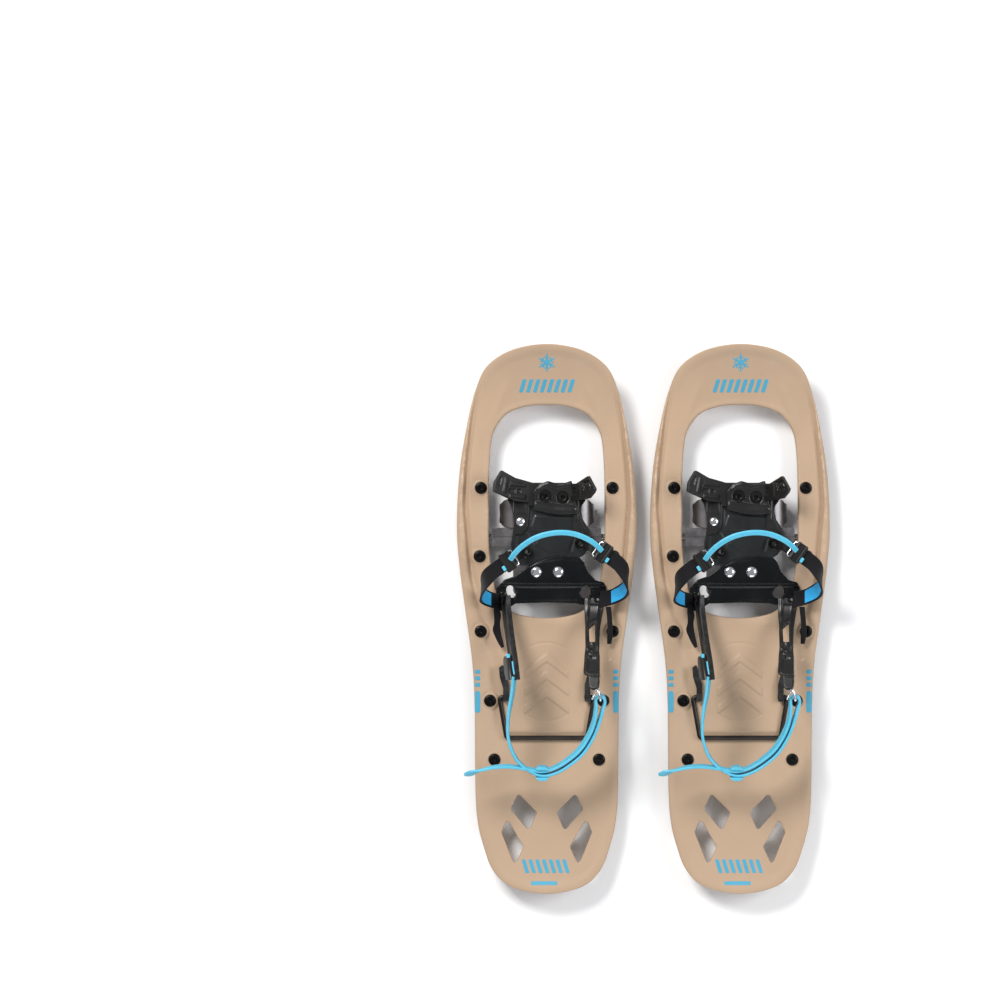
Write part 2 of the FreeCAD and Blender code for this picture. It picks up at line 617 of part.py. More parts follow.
# ---------------------------------------------------------------- heel strap
STRAP_RUN = [
    (-36, STRAP_ROOT_Y), (-38.6, -83), (-41.4, -97), (-43.4, -112), (-43.7, -128.7), (-40.3, -143.4),
    (-33.5, -157),
    (-22.2, -167.5), (-6.4, -174.4), (9.4, -171.5), (25.2, -162), (39.9, -148.8), (51.1, -131), (57.9, -114),
    (62.8, -98), (64.2, -90.5),
]
STRAP_RETURN = [
    (55.2, -90.5), (54.9, -98), (52.9, -112.6), (46.9, -128.6), (36.3, -145.2), (22.4, -157.6), (7.9, -166.4),
    (-5.5, -169.8), (-16.5, -168.4), (-28.6, -166), (-37.2, -165), (-47.3, -164.4), (-61.6, -165.9),
    (-76.1, -169.6), (-93, -174.0),
]


def tilted(shape):
    """Lets the strap hang a little towards its back."""
    return turned(shape, STRAP_DROOP, (0, STRAP_ROOT_Y, STRAP_LOW_Z), X_AXIS)


def strap_layer(points):
    layer_face = ribbon_outline(points, STRAP_THICK / 2)
    layer_face.translate(V(0, 0, STRAP_LOW_Z))
    return layer_face.extrude(V(0, 0, STRAP_WIDTH))


def heel_strap():
    """One long strap: round the heel, through the buckle, back along itself and out through the keeper."""
    (x0, y0), (x1, y1) = STRAP_RUN[-1], STRAP_RETURN[0]
    radius = (x0 - x1) / 2
    low = STRAP_LOW_Z
    turn = disc((x0 + x1) / 2, y0, low, low + STRAP_WIDTH, radius + STRAP_THICK / 2)
    turn = turn.cut(disc((x0 + x1) / 2, y0, low - 1, low + STRAP_WIDTH + 1, radius - STRAP_THICK / 2))
    turn = turn.common(Part.makeBox(40, 20, 60, V(x1 - 15, y0 - 0.01, low - 5)))
    return tilted(joined([strap_layer(STRAP_RUN), strap_layer(STRAP_RETURN), turn]))


def strap_keeper():
    low = STRAP_LOW_Z
    x, y = KEEPER_SPOT.x, KEEPER_SPOT.y
    outer = Part.makeBox(13, 12.4, STRAP_WIDTH + 5, V(x - 6.5, y - 4.6, low - 2.5))
    inner = Part.makeBox(20, 8.8, STRAP_WIDTH + 0.6, V(x - 10, y - 2.8, low - 0.3))
    return tilted(outer.cut(inner)).cut(heel_strap())


def heel_buckle():
    """A wire loop: its rear bar lies in the strap's turn and its front bar in the arm's tip."""
    x = (STRAP_RUN[-1][0] + STRAP_RETURN[0][0]) / 2
    y = STRAP_RUN[-1][1]
    low = STRAP_LOW_Z
    ring = wire([(x, y, low - 4), (x, y, low + STRAP_WIDTH + 3), (x - 3, y + 13, low + STRAP_WIDTH + 3),
                 (x - 3, y + 13, low - 4)], 1.4, 3.0)
    foot = wire([(x, y, low - 4), (x - 1.5, y + 6, low - 4), (x - 3, y + 13, low - 4)], 1.4, 1.0)
    return tilted(joined([ring, foot]))


# ---------------------------------------------------------------- heel lifter
def lifter_bail():
    z = LIFTER_Z
    bar_y = LIFTER_Y - LIFTER_REACH
    inner = LIFTER_PIVOT_HALF - 11.0
    points = [(-inner, LIFTER_Y, z), (-LIFTER_PIVOT_HALF, LIFTER_Y, z), (-LIFTER_BAR_HALF, bar_y, z),
              (LIFTER_BAR_HALF, bar_y, z), (LIFTER_PIVOT_HALF, LIFTER_Y, z), (inner, LIFTER_Y, z)]
    return wire(points, LIFTER_WIRE_R, 3.4)


def lifter_brackets():
    """The clips on the deck that the bail's ends turn in."""
    outline = [(42.8, LIFTER_Y - 5), (49.2, LIFTER_Y - 5), (49.2, -78), (53.0, -66), (54, -55), (49, -51),
               (46, -62), (42.8, -74)]
    clip = rounded_slab(outline, 1.5, DECK_TOP, LIFTER_Z + 4.6)
    clip = clip.cut(rod(40, 60, LIFTER_Y, LIFTER_Z, LIFTER_WIRE_R + 0.08))
    return both_sides(clip)


# ---------------------------------------------------------------- assembly
PIECES = {
    "deck": deck,
    "traction_rails": traction_rails,
    "rail_rivets": rail_rivets,
    "pivot_axle": pivot_axle,
    "axle_clips": axle_clips,
    "lifter_brackets": lifter_brackets,
    "lifter_bail": lifter_bail,
    "pivot_bracket": pivot_bracket,
    "toe_crampon": toe_crampon,
    "footbed": footbed,
    "toe_cradle": toe_cradle,
    "toe_clamp": toe_clamp,
    "toe_screws": toe_screws,
    "bed_rivets": bed_rivets,
    "heel_plate": heel_plate,
    "strap_arm": strap_arm,
    "buckle_arm": buckle_arm,
    "arm_rivets": arm_rivets,
    "long_webbing": long_webbing,
    "short_webbing": short_webbing,
    "webbing_tails": webbing_tails,
    "loop_buckles": loop_buckles,
    "instep_tongues": instep_tongues,
    "side_bolts": side_bolts,
    "instep_strap": instep_strap,
    "heel_strap": heel_strap,
    "strap_keeper": strap_keeper,
    "heel_buckle": heel_buckle,
}


def main():
    os.makedirs("parts", exist_ok=True)
    for name, make in PIECES.items():
        shape = make()
        solids = shape.Solids
        bad = [s for s in solids if not s.isValid() or s.Volume <= 0]
        print(f"{name}: {len(solids)} solids, {sum(s.Volume for s in solids) / 1000:.1f} cm3, bad {len(bad)}")
        for side, x in (("left", -SHOE_X), ("right", SHOE_X)):
            placed = shape.copy()
            placed.translate(V(x, 0, 0))
            placed.exportStep(f"parts/{side}_{name}.step")


main()
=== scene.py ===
"""The looks of a pair of moulded-deck snowshoes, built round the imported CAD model.

Shapes are worked out in millimetres in one shoe's frame, with x = 0 on its centre line and y = 0 at mid length,
and placed twice, because both shoes are the same. Everything else is in metres.
"""

import math

import bmesh
import bpy
import numpy as np
from mathutils import Matrix, Vector
from mathutils.geometry import delaunay_2d_cdt


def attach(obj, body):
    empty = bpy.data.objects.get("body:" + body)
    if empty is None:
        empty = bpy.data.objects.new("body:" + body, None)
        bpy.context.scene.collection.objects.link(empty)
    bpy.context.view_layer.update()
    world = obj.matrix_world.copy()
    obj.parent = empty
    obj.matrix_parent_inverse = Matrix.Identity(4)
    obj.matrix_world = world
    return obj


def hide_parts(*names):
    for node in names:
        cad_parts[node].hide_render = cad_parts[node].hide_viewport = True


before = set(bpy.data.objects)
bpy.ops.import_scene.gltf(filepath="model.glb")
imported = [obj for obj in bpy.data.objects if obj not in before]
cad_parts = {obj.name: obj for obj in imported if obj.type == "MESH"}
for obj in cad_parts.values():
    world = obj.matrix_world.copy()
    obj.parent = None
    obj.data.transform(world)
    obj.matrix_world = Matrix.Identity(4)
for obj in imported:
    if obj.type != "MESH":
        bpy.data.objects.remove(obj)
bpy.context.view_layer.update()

MM = 0.001
SHOE_X = 109.1
SIDES = (("left", -SHOE_X), ("right", SHOE_X))
UP = (0, 0, 1)
FORWARD = (0, 1, 0)

# ------------------------------------------------------------------ sizes shared with the CAD model, in mm
DECK_TOP = 26.0
DECK_THICK = 4.0
SKIRT_DEPTH = 7.0
LIP_DEPTH = 5.0
TOE_CURVE_Y, TOE_RADIUS = 190.0, 208.0
TAIL_CURVE_Y, TAIL_RADIUS = -240.0, 310.0
PAD_CENTRE_Y = -71.0
PAD_END_Y = -134.0
BED_TOP = 30.0
PLATE_TOP = 26.5
PLATE_THICK = 2.5
DECK_HALF = [(0, 310), (39, 303.5), (67, 285.5), (80.2, 258.5), (89.3, 222), (98.2, 168), (101.6, 106), (98.6, 60),
             (91.4, 5.6), (84.2, -48), (81.4, -100), (80.6, -190), (77.9, -229), (71.5, -256), (61, -283),
             (40, -302), (0, -310)]
OPENING_HALF = [(0, 241.5), (22.3, 240), (45, 231.4), (58.5, 213.4), (63, 195), (65, 160), (65.3, 120), (65, 83.5),
                (60, 42.9), (53, 22), (40, 9), (22, 3), (0, 1)]
TAIL_HOLES = [[(-32.3, -197.1), (-11.2, -218.2), (-20.2, -239.2), (-40.8, -214.5)],
              [(-44.5, -225.6), (-26.3, -257.4), (-36.1, -278.3), (-51.0, -240.8)]]
RIVET_SPOTS = [(74.3, 148.0), (75.7, 70.8), (74.5, -14.0), (63.9, -92.2), (59.0, -158.7)]
STRAP_LOW_Z, STRAP_WIDTH, STRAP_DROOP, STRAP_ROOT_Y = 84.0, 15.0, 8.0, -68.0


# ------------------------------------------------------------------ flat geometry
def unit(v):
    """Vectors scaled to length 1, one or a row of them."""
    v = np.asarray(v, float)
    return v / np.linalg.norm(v, axis=-1, keepdims=True)


def squared(across, outward):
    """Both directions at length 1, with outward turned square to across."""
    across, outward = unit(across), np.asarray(outward, float)
    return across, unit(outward - across * (outward * across).sum(-1, keepdims=True))


def full_loop(half):
    return list(half) + [(-x, y) for x, y in reversed(half[1:-1])]


def catmull(points, steps, closed=False):
    """Points along a smooth curve through rows of any width."""
    p = np.array(points, float)
    n = len(p)
    rows = []
    for i in range(n if closed else n - 1):
        a = p[(i - 1) % n] if closed or i else 2 * p[0] - p[1]
        b, c = p[i], p[(i + 1) % n]
        d = p[(i + 2) % n] if closed or i + 2 < n else 2 * p[-1] - p[-2]
        for k in range(steps):
            t = k / steps
            rows.append(0.5 * (2 * b + (c - a) * t + (2 * a - 5 * b + 4 * c - d) * t * t
                               + (3 * b - a - 3 * c + d) * t ** 3))
    if not closed:
        rows.append(p[-1])
    return np.array(rows)


def even(points, step):
    """The same closed line with points at even distances."""
    p = np.array(points, float)
    p = np.vstack([p, p[:1]])
    run = np.concatenate([[0], np.cumsum(np.linalg.norm(np.diff(p, axis=0), axis=1))])
    at = np.linspace(0, run[-1], max(int(round(run[-1] / step)), 3) + 1)[:-1]
    return np.stack([np.interp(at, run, p[:, k]) for k in range(p.shape[1])], axis=1)


def length_and_way(v):
    """A vector's length, and the same vector at length 1."""
    length = np.linalg.norm(v)
    return length, v / length


def corner_bend(corner, back, ahead, reach, steps):
    """Points of a bend that cuts a corner this far from it. back and ahead are the ways that its sides go."""
    a, c = corner + back * reach, corner + ahead * reach
    shares = [k / steps for k in range(steps + 1)]
    return [(1 - t) ** 2 * a + 2 * t * (1 - t) * corner + t * t * c for t in shares]


def rounded(points, radius):
    """A straight-sided closed outline with rounded corners."""
    p = np.array(points, float)
    out = []
    for i, corner in enumerate(p):
        back_length, back = length_and_way(p[i - 1] - corner)
        ahead_length, ahead = length_and_way(p[(i + 1) % len(p)] - corner)
        half = math.acos(max(-1, min(1, float(back @ ahead)))) / 2
        reach = min(radius / math.tan(half), 0.48 * back_length, 0.48 * ahead_length)
        out += corner_bend(corner, back, ahead, reach, 5)
    return np.array(out)


def outlined(points, radius, step):
    return even(rounded(points, radius), step)


def circle(x, y, radius, count=32):
    a = np.linspace(0, 2 * math.pi, count, endpoint=False)
    return np.stack([x + radius * np.cos(a), y + radius * np.sin(a)], axis=1)


def edge_distance(p, loop):
    """How far each point is from a closed loop's line."""
    a = np.array(loop, float)
    d = np.roll(a, -1, axis=0) - a
    dd = np.maximum((d * d).sum(1), 1e-12)
    best = np.empty(len(p))
    batch = 4000
    for i in range(0, len(p), batch):
        q = p[i:i + batch, None, :2] - a[None]
        t = np.clip((q * d[None]).sum(2) / dd, 0, 1)
        best[i:i + batch] = np.sqrt(((q - t[..., None] * d[None]) ** 2).sum(2).min(1))
    return best


def inside(p, loop):
    a = np.array(loop, float)
    found = np.zeros(len(p), bool)
    for (x0, y0), (x1, y1) in zip(a, np.roll(a, -1, axis=0)):
        if y0 != y1:
            hit = (p[:, 1] > min(y0, y1)) & (p[:, 1] <= max(y0, y1))
            found ^= hit & (p[:, 0] < x0 + (p[:, 1] - y0) * (x1 - x0) / (y1 - y0))
    return found


def ramp(a, b, v):
    """0 at a, 1 at b, smooth between."""
    t = np.clip((np.asarray(v, float) - a) / (b - a), 0, 1)
    return t * t * (3 - 2 * t)


def ridge(v, middle, width):
    """1 at the middle, falling away smoothly on both sides."""
    return np.exp(-((v - middle) / width) ** 2)


def raised(p, loop, height, soft=0.45):
    """A step of this height over the area inside a loop."""
    d = edge_distance(p, loop)
    return height * ramp(-soft, soft, np.where(inside(p, loop), d, -d))


def facets(p, z, features):
    """Heights z with steps added. Each feature is an outline, a height and, if it has one, a softness."""
    for loop, height, *soft in features:
        z = z + raised(p, loop, height, *soft)
    return z


def level(p, height):
    """A surface's heights at points. height is a number or a function of the points."""
    return height(p) if callable(height) else np.full(len(p), float(height))


# ------------------------------------------------------------------ solids from outlines
FILLET_ROWS = (0.08, 0.3, 0.62, 1.0)


def grid(low, high, step):
    """Staggered rows of points over a box."""
    xs = np.arange(low[0] + step * 0.37, high[0], step)
    ys = np.arange(low[1] + step * 0.41, high[1], step * 0.87)
    return np.vstack([np.stack([xs + (step / 2 if k % 2 else 0), np.full(len(xs), y)], 1)
                      for k, y in enumerate(ys)])


def relief(outer, holes, spacing, top, bottom, fillet=1.0, fine=None, under_fillet=None, extra=None):
    """A closed solid over an outline with holes. top and bottom give heights; both edges are rounded."""
    under_fillet = fillet * 0.4 if under_fillet is None else under_fillet
    loops = [np.array(outer, float)] + [np.array(h, float) for h in holes]
    parts = []
    base = grid(loops[0].min(0), loops[0].max(0), spacing)
    if fine:
        (fx0, fy0, fx1, fy1), step = fine
        hit = (base[:, 0] > fx0) & (base[:, 0] < fx1) & (base[:, 1] > fy0) & (base[:, 1] < fy1)
        base = base[~hit]
        parts.append(grid((fx0, fy0), (fx1, fy1), step))
    parts.append(base)

    def within(p):
        ok = inside(p, loops[0])
        for hole in loops[1:]:
            ok &= ~inside(p, hole)
        return ok

    def clear(p, least):
        ok = within(p)
        for loop in loops:
            ok &= edge_distance(p, loop) > least
        return p[ok]

    if extra is not None:
        parts.append(extra)
    free = clear(np.vstack(parts), fillet * 1.2)
    rings = []
    for k, loop in enumerate(loops):
        ahead = np.roll(loop, -1, axis=0) - np.roll(loop, 1, axis=0)
        normal = np.stack([-ahead[:, 1], ahead[:, 0]], 1)
        normal /= np.maximum(np.linalg.norm(normal, axis=1), 1e-9)[:, None]
        x, y = loop[:, 0], loop[:, 1]
        area = (x * np.roll(y, -1) - np.roll(x, -1) * y).sum()
        turn = (1 if area > 0 else -1) * (1 if k == 0 else -1)
        for share in FILLET_ROWS:
            rings.append(clear(loop + normal * turn * fillet * share, fillet * share * 0.93))
    points = np.vstack(loops + rings + [free])
    edges, start = [], 0
    for loop in loops:
        edges += [(start + i, start + (i + 1) % len(loop)) for i in range(len(loop))]
        start += len(loop)
    made = delaunay_2d_cdt([Vector(p) for p in points.tolist()], edges, [], 2, 1e-5, True)
    p = np.array([tuple(v) for v in made[0]])
    tris = np.array([tuple(f) for f in made[2]])
    tris = [tuple(f) for f in tris[within(p[tris].mean(axis=1))].tolist()]
    d = np.full(len(p), 1e9)
    for loop in loops:
        d = np.minimum(d, edge_distance(p, loop))
    d[d < 1e-4] = 0

    def drop(radius):
        inner = np.clip(radius - d, 0, radius)
        return radius - np.sqrt(np.maximum(radius * radius - inner * inner, 0))

    z_top = level(p, top) - drop(fillet)
    z_low = level(p, bottom) + (drop(under_fillet) if under_fillet > 0 else 0)
    n = len(p)
    faces, rim = [], set()
    for f in tris:
        a, b, c = (p[i] for i in f)
        if (b[0] - a[0]) * (c[1] - a[1]) - (b[1] - a[1]) * (c[0] - a[0]) < 0:
            f = f[::-1]
        faces += [f, tuple(i + n for i in f[::-1])]
        for e in ((f[0], f[1]), (f[1], f[2]), (f[2], f[0])):
            rim ^= {(e[1], e[0])} if (e[1], e[0]) in rim else {e}
    faces += [(b, a, a + n, b + n) for a, b in sorted(rim)]
    return np.vstack([np.column_stack([p, z_top]), np.column_stack([p, z_low])]), faces


def skin_rings(rings, per, closed=False):
    """Faces of a tube of rings with this many points each, with both ends capped unless it closes on itself."""
    faces = []
    for i in range(rings if closed else rings - 1):
        j = (i + 1) % rings
        for k in range(per):
            m = (k + 1) % per
            faces.append((i * per + k, i * per + m, j * per + m, j * per + k))
    if not closed:
        faces.append(tuple(range(per))[::-1])
        faces.append(tuple(range((rings - 1) * per, rings * per)))
    return faces


def sweep(stations, section, steps=6):
    """A solid along stations of (centre, across, outward, width). section(width) is its outline."""
    rows = catmull([[*c, *a, *o, w] for c, a, o, w in stations], steps)
    verts, uvs = [], []
    run, last = 0.0, rows[0, :3]
    for row in rows:
        centre, width = row[:3], row[9]
        across, outward = squared(row[3:6], row[6:9])
        run += np.linalg.norm(centre - last)
        last = centre
        for u, v in section(width):
            verts.append(centre + across * u + outward * v)
            uvs.append((u, run))
    return np.array(verts), skin_rings(len(rows), len(section(rows[0][9]))), uvs


def strap_section(thick, rib=0.0, corner=0.35, ribs=0):
    """A flat strap with rounded edges, and low ribs along its outward face."""
    def section(width):
        h, t = width / 2, thick / 2
        c = min(corner * thick, t * 0.95)

        def corners(x, *turns):
            pts = []
            for cy, start in turns:
                angles = [math.radians(start + 30 * k) for k in range(4)]
                pts += [(x + c * math.cos(a), cy + c * math.sin(a)) for a in angles]
            return pts

        count = ribs * 4
        shares = [(k + 0.5) / count for k in range(count)]
        face = [((h - c) * (1 - 2 * s), t + rib * (0.5 - 0.5 * math.cos(2 * math.pi * s * ribs))) for s in shares]
        return corners(h - c, (-t + c, -90), (t - c, 0)) + face + corners(-h + c, (t - c, 90), (-t + c, 180))
    return section


def tube(points, radius, bend, sides, closed=False):
    """A round wire along straight runs, with rounded corners."""
    p = [np.array(q, float) for q in points]
    line = []
    for i, corner in enumerate(p):
        if not closed and i in (0, len(p) - 1):
            line.append(corner)
            continue
        back_length, back = length_and_way(p[i - 1] - corner)
        ahead_length, ahead = length_and_way(p[(i + 1) % len(p)] - corner)
        line += corner_bend(corner, back, ahead, min(bend, 0.45 * back_length, 0.45 * ahead_length), 6)
    n = len(line)
    verts, normal = [], None
    for i in range(n):
        along = line[(i + 1) % n] - line[i - 1] if closed else line[min(i + 1, n - 1)] - line[max(i - 1, 0)]
        if normal is None:
            normal = sideways(unit(along))
        along, normal = squared(along, normal)
        side = np.cross(along, normal)
        for k in range(sides):
            a = 2 * math.pi * k / sides
            verts.append(line[i] + radius * (math.cos(a) * normal + math.sin(a) * side))
    return np.array(verts), skin_rings(n, sides, closed)


def sideways(axis):
    """X or Y, whichever is far from this direction."""
    return np.array((1.0, 0, 0)) if abs(axis[0]) < 0.8 else np.array((0, 1.0, 0))


def turned(profile, spot, axis=UP, count=28):
    """A solid of revolution. profile is (radius, height) from the top's middle to the base's middle."""
    axis, spot = unit(axis), np.array(spot, float)
    u = unit(np.cross(axis, sideways(axis)))
    w = np.cross(axis, u)
    verts = [spot + axis * profile[0][1]]
    for r, h in profile[1:-1]:
        for k in range(count):
            a = 2 * math.pi * k / count
            verts.append(spot + axis * h + r * (math.cos(a) * u + math.sin(a) * w))
    verts.append(spot + axis * profile[-1][1])
    last = 1 + (len(profile) - 3) * count
    faces = []
    for k in range(count):
        j = (k + 1) % count
        faces.append((0, 1 + k, 1 + j))
        faces += [(a + k, a + count + k, a + count + j, a + j) for a in range(1, last, count)]
        faces.append((last + k, len(verts) - 1, last + j))
    return np.array(verts), faces


def merged(*parts):
    verts, faces, uvs = [], [], []
    start = 0
    for v, f, *uv in parts:
        verts.append(np.array(v, float))
        faces += [tuple(i + start for i in face) for face in f]
        uvs += list(uv[0]) if uv else [(0, 0)] * len(v)
        start += len(v)
    return np.vstack(verts), faces, uvs


def mirrored(part):
    return (part[0] * (-1, 1, 1), [tuple(reversed(f)) for f in part[1]], *part[2:])


def placed(part, matrix):
    return (np.array([tuple(matrix @ Vector(p)) for p in part[0]]), *part[1:])


def bent(part, stations, length):
    """A flat relief laid along a curved centre line: its y becomes the way along and its x the way across."""
    rows = catmull([[*c, *a, *o] for c, a, o in stations], 12)
    run = np.concatenate([[0], np.cumsum(np.linalg.norm(np.diff(rows[:, :3], axis=0), axis=1))])
    v = part[0]
    at = v[:, 1] * run[-1] / length
    rows = np.stack([np.interp(at, run, rows[:, k]) for k in range(9)], axis=1)
    across, outward = squared(rows[:, 3:6], rows[:, 6:9])
    return (rows[:, :3] + across * v[:, :1] + outward * v[:, 2:3], *part[1:])


# ------------------------------------------------------------------ placing pieces
def make_mesh(name, part, sharp):
    """A mesh in metres, smooth but for edges sharper than this angle."""
    mesh = bpy.data.meshes.new(name)
    mesh.from_pydata((part[0] * MM).tolist(), [], [tuple(int(i) for i in f) for f in part[1]])
    if len(part) > 2:
        layer = mesh.uv_layers.new(name="along")
        for loop in mesh.loops:
            u, v = part[2][loop.vertex_index]
            layer.data[loop.index].uv = (u * MM, v * MM)
    bm = bmesh.new()
    bm.from_mesh(mesh)
    bmesh.ops.recalc_face_normals(bm, faces=bm.faces)
    for f in bm.faces:
        f.smooth = True
    for e in bm.edges:
        e.smooth = len(e.link_faces) != 2 or e.calc_face_angle(0) < math.radians(sharp)
    bm.to_mesh(mesh)
    bm.free()
    return mesh


def piece(name, part, material, body, replaces=(), sharp=38):
    """The same piece on both shoes."""
    mesh = make_mesh(name, part, sharp)
    mesh.materials.append(material)
    for side, x in SIDES:
        obj = bpy.data.objects.new(f"{side}_{name}", mesh)
        bpy.context.scene.collection.objects.link(obj)
        obj.location = (x * MM, 0, 0)
        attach(obj, f"{side}_{body}")
        if replaces:
            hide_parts(*[f"{side}_{n}" for n in replaces])


# ------------------------------------------------------------------ materials
class Nodes:
    """A short way to build a material's node tree."""

    def __init__(self, name):
        self.mat = bpy.data.materials.new(name)
        self.mat.use_nodes = True
        self.tree = self.mat.node_tree
        self.tree.nodes.clear()
        self.bsdf = self.add("BsdfPrincipled")
        self.link(self.bsdf.outputs[0], self.add("OutputMaterial").inputs[0])
        self.coord = self.add("TexCoord")

    def add(self, kind, **settings):
        node = self.tree.nodes.new("ShaderNode" + kind)
        for key, value in settings.items():
            setattr(node, key, value)
        return node

    def link(self, a, b):
        self.tree.links.new(a, b)

    def feed(self, socket, value):
        """A socket takes a number, a colour or another node's output."""
        if isinstance(value, (int, float)):
            socket.default_value = value
        elif isinstance(value, tuple):
            socket.default_value = (*value, 1)
        else:
            self.link(value, socket)

    def vector(self, scale=(1, 1, 1), source="Object"):
        m = self.add("Mapping")
        m.inputs["Scale"].default_value = scale
        self.link(self.coord.outputs[source], m.inputs["Vector"])
        return m.outputs[0]

    def noise(self, scale, detail=3.0, rough=0.55, vector=None):
        n = self.add("TexNoise")
        for key, value in (("Scale", scale), ("Detail", detail), ("Roughness", rough),
                           ("Vector", vector or self.vector())):
            self.feed(n.inputs[key], value)
        return n.outputs["Fac"]

    def ramp(self, value, stops):
        r = self.add("ValToRGB")
        for element, (at, colour) in zip(r.color_ramp.elements, stops):
            element.position = at
            element.color = (*colour, 1)
        self.link(value, r.inputs[0])
        return r.outputs[0]

    def span(self, value, low, high, a=0.0, b=1.0):
        """The value's range from a to b stretched to run from low to high."""
        m = self.add("MapRange")
        for key, v in (("From Min", a), ("From Max", b), ("To Min", low), ("To Max", high), ("Value", value)):
            self.feed(m.inputs[key], v)
        return m.outputs[0]

    def maths(self, kind, *values):
        m = self.add("Math", operation=kind)
        for socket, v in zip(m.inputs, values):
            self.feed(socket, v)
        return m.outputs[0]

    def mix(self, fac, a, b):
        m = self.add("Mix", data_type="RGBA")
        for index, v in ((0, fac), (6, a), (7, b)):
            self.feed(m.inputs[index], v)
        return m.outputs[2]

    def bump(self, height, strength, distance, normal=None):
        b = self.add("Bump")
        for key, v in (("Strength", strength), ("Distance", distance), ("Height", height)):
            self.feed(b.inputs[key], v)
        if normal is not None:
            self.link(normal, b.inputs["Normal"])
        return b.outputs[0]

    def set(self, **values):
        for key, v in values.items():
            self.feed(self.bsdf.inputs[key.replace("_", " ")], v)
        return self.mat


def tint(colour, k):
    return tuple(min(1.0, c * k) for c in colour)


def edge_wear(n):
    """1 on sharp outer edges, broken up by noise."""
    edge = n.span(n.add("NewGeometry").outputs["Pointiness"], 0, 1, 0.52, 0.60)
    return n.maths("MULTIPLY", edge, n.span(n.noise(160, 4), 0, 1, 0.42, 0.62))


def moulded(name, colour, rough, grain, grain_size, spread, worn=None, specular=0.5):
    """Moulded plastic: a fine grain, faint flow marks, uneven gloss and worn edges."""
    n = Nodes(name)
    flow = n.noise(6, 3, 0.5, n.vector((6, 0.8, 3)))
    speck = n.noise(1500, 2, 0.7)
    base = n.ramp(n.noise(11, 4, 0.6), [(0.32, tint(colour, 1 - spread)), (0.68, tint(colour, 1 + spread))])
    base = n.mix(n.span(flow, 0, 0.35, 0.45, 0.75), base, tint(colour, 1 - 1.5 * spread))
    base = n.mix(n.span(speck, 0, 0.22, 0.5, 0.8), base, tint(colour, 0.82))
    if worn:
        base = n.mix(n.maths("MULTIPLY", edge_wear(n), 0.55), base, worn)
    scratch = n.noise(70, 5, 0.7, n.vector((14, 0.7, 6)))
    normal = n.bump(n.noise(grain_size, 3, 0.6), grain, 0.0002)
    normal = n.bump(n.span(scratch, 0, 1, 0.6, 0.75), 0.12, 0.0002, normal)
    return n.set(Base_Color=base, Roughness=n.span(n.noise(45, 4), rough - 0.07, rough + 0.08, 0.3, 0.7),
                 Normal=normal, Specular_IOR_Level=specular)


def metal(name, colour, rough, stain=0.25, bump=0.15):
    """Metal with a brushed grain, cloudy stains and bright worn edges."""
    n = Nodes(name)
    grain = n.noise(90, 5, 0.7, n.vector((1, 60, 60)))
    cloud = n.noise(35, 4, 0.6)
    base = n.ramp(cloud, [(0.3, tint(colour, 1 - stain)), (0.7, tint(colour, 1 + stain * 0.4))])
    base = n.mix(n.maths("MULTIPLY", edge_wear(n), 0.5), base, tint(colour, 1.5))
    gloss = n.maths("ADD", n.span(grain, -0.06, 0.08), n.span(cloud, rough - 0.05, rough + 0.07, 0.3, 0.7))
    return n.set(Base_Color=base, Metallic=1.0, Roughness=gloss, Normal=n.bump(grain, bump, 0.0001))


def woven(name, colour, lift=0.7, spread=0.35):
    """Webbing: diagonal threads that follow the strap's length."""
    n = Nodes(name)
    thread = 0.0011
    split = n.add("SeparateXYZ")
    n.link(n.vector(source="UV"), split.inputs[0])
    across = n.maths("MULTIPLY", split.outputs[0], 2 * math.pi / thread)
    along = n.maths("MULTIPLY", split.outputs[1], 2 * math.pi / (thread * 1.6))
    zigzag = n.maths("ABSOLUTE", n.maths("SINE", n.maths("MULTIPLY", across, 0.12)))
    a = n.maths("SINE", n.maths("ADD", along, n.maths("MULTIPLY", zigzag, 6)))
    cell = n.span(n.maths("MULTIPLY", a, n.maths("SINE", across)), 0, 1, -1, 1)
    fuzz = n.noise(2600, 2, 0.7)
    height = n.maths("ADD", cell, n.maths("MULTIPLY", fuzz, 0.5))
    base = n.ramp(cell, [(0.15, tint(colour, 1 - spread)), (0.85, tint(colour, 1 + spread))])
    base = n.mix(n.span(n.noise(60, 3), 0, 0.3, 0.45, 0.7), base, tint(colour, 1.5))
    return n.set(Base_Color=base, Roughness=n.span(fuzz, 0.70, 0.88), Sheen_Weight=0.08, Specular_IOR_Level=0.18,
                 Normal=n.bump(height, lift, 0.0003))


tan_plastic = moulded("tan_deck_plastic", (0.398, 0.280, 0.187), 0.52, 0.30, 900, 0.035, (0.78, 0.62, 0.47), 0.35)
black_plastic = moulded("black_moulded_plastic", (0.0100, 0.0094, 0.0090), 0.33, 0.28, 700, 0.2,
                        (0.055, 0.055, 0.056), 0.36)
dark_plastic = moulded("dark_grey_plastic", (0.0085, 0.0100, 0.0104), 0.33, 0.3, 700, 0.2,
                       (0.062, 0.066, 0.068), 0.36)
deep_plastic = moulded("gloss_black_plastic", (0.0032, 0.0038, 0.0043), 0.27, 0.22, 700, 0.2,
                       (0.050, 0.053, 0.055), 0.24)
cap_plastic = moulded("black_rivet_caps", (0.0028, 0.0022, 0.0022), 0.30, 0.25, 1200, 0.25,
                      (0.04, 0.037, 0.035), 0.14)
blue_rubber = moulded("light_blue_strap", (0.080, 0.430, 0.600), 0.40, 0.22, 1100, 0.07, (0.30, 0.72, 0.85), 0.45)
blue_print = moulded("blue_print", (0.048, 0.29, 0.43), 0.5, 0.3, 1400, 0.1)
steel = metal("zinc_plated_steel", (0.180, 0.170, 0.173), 0.36)
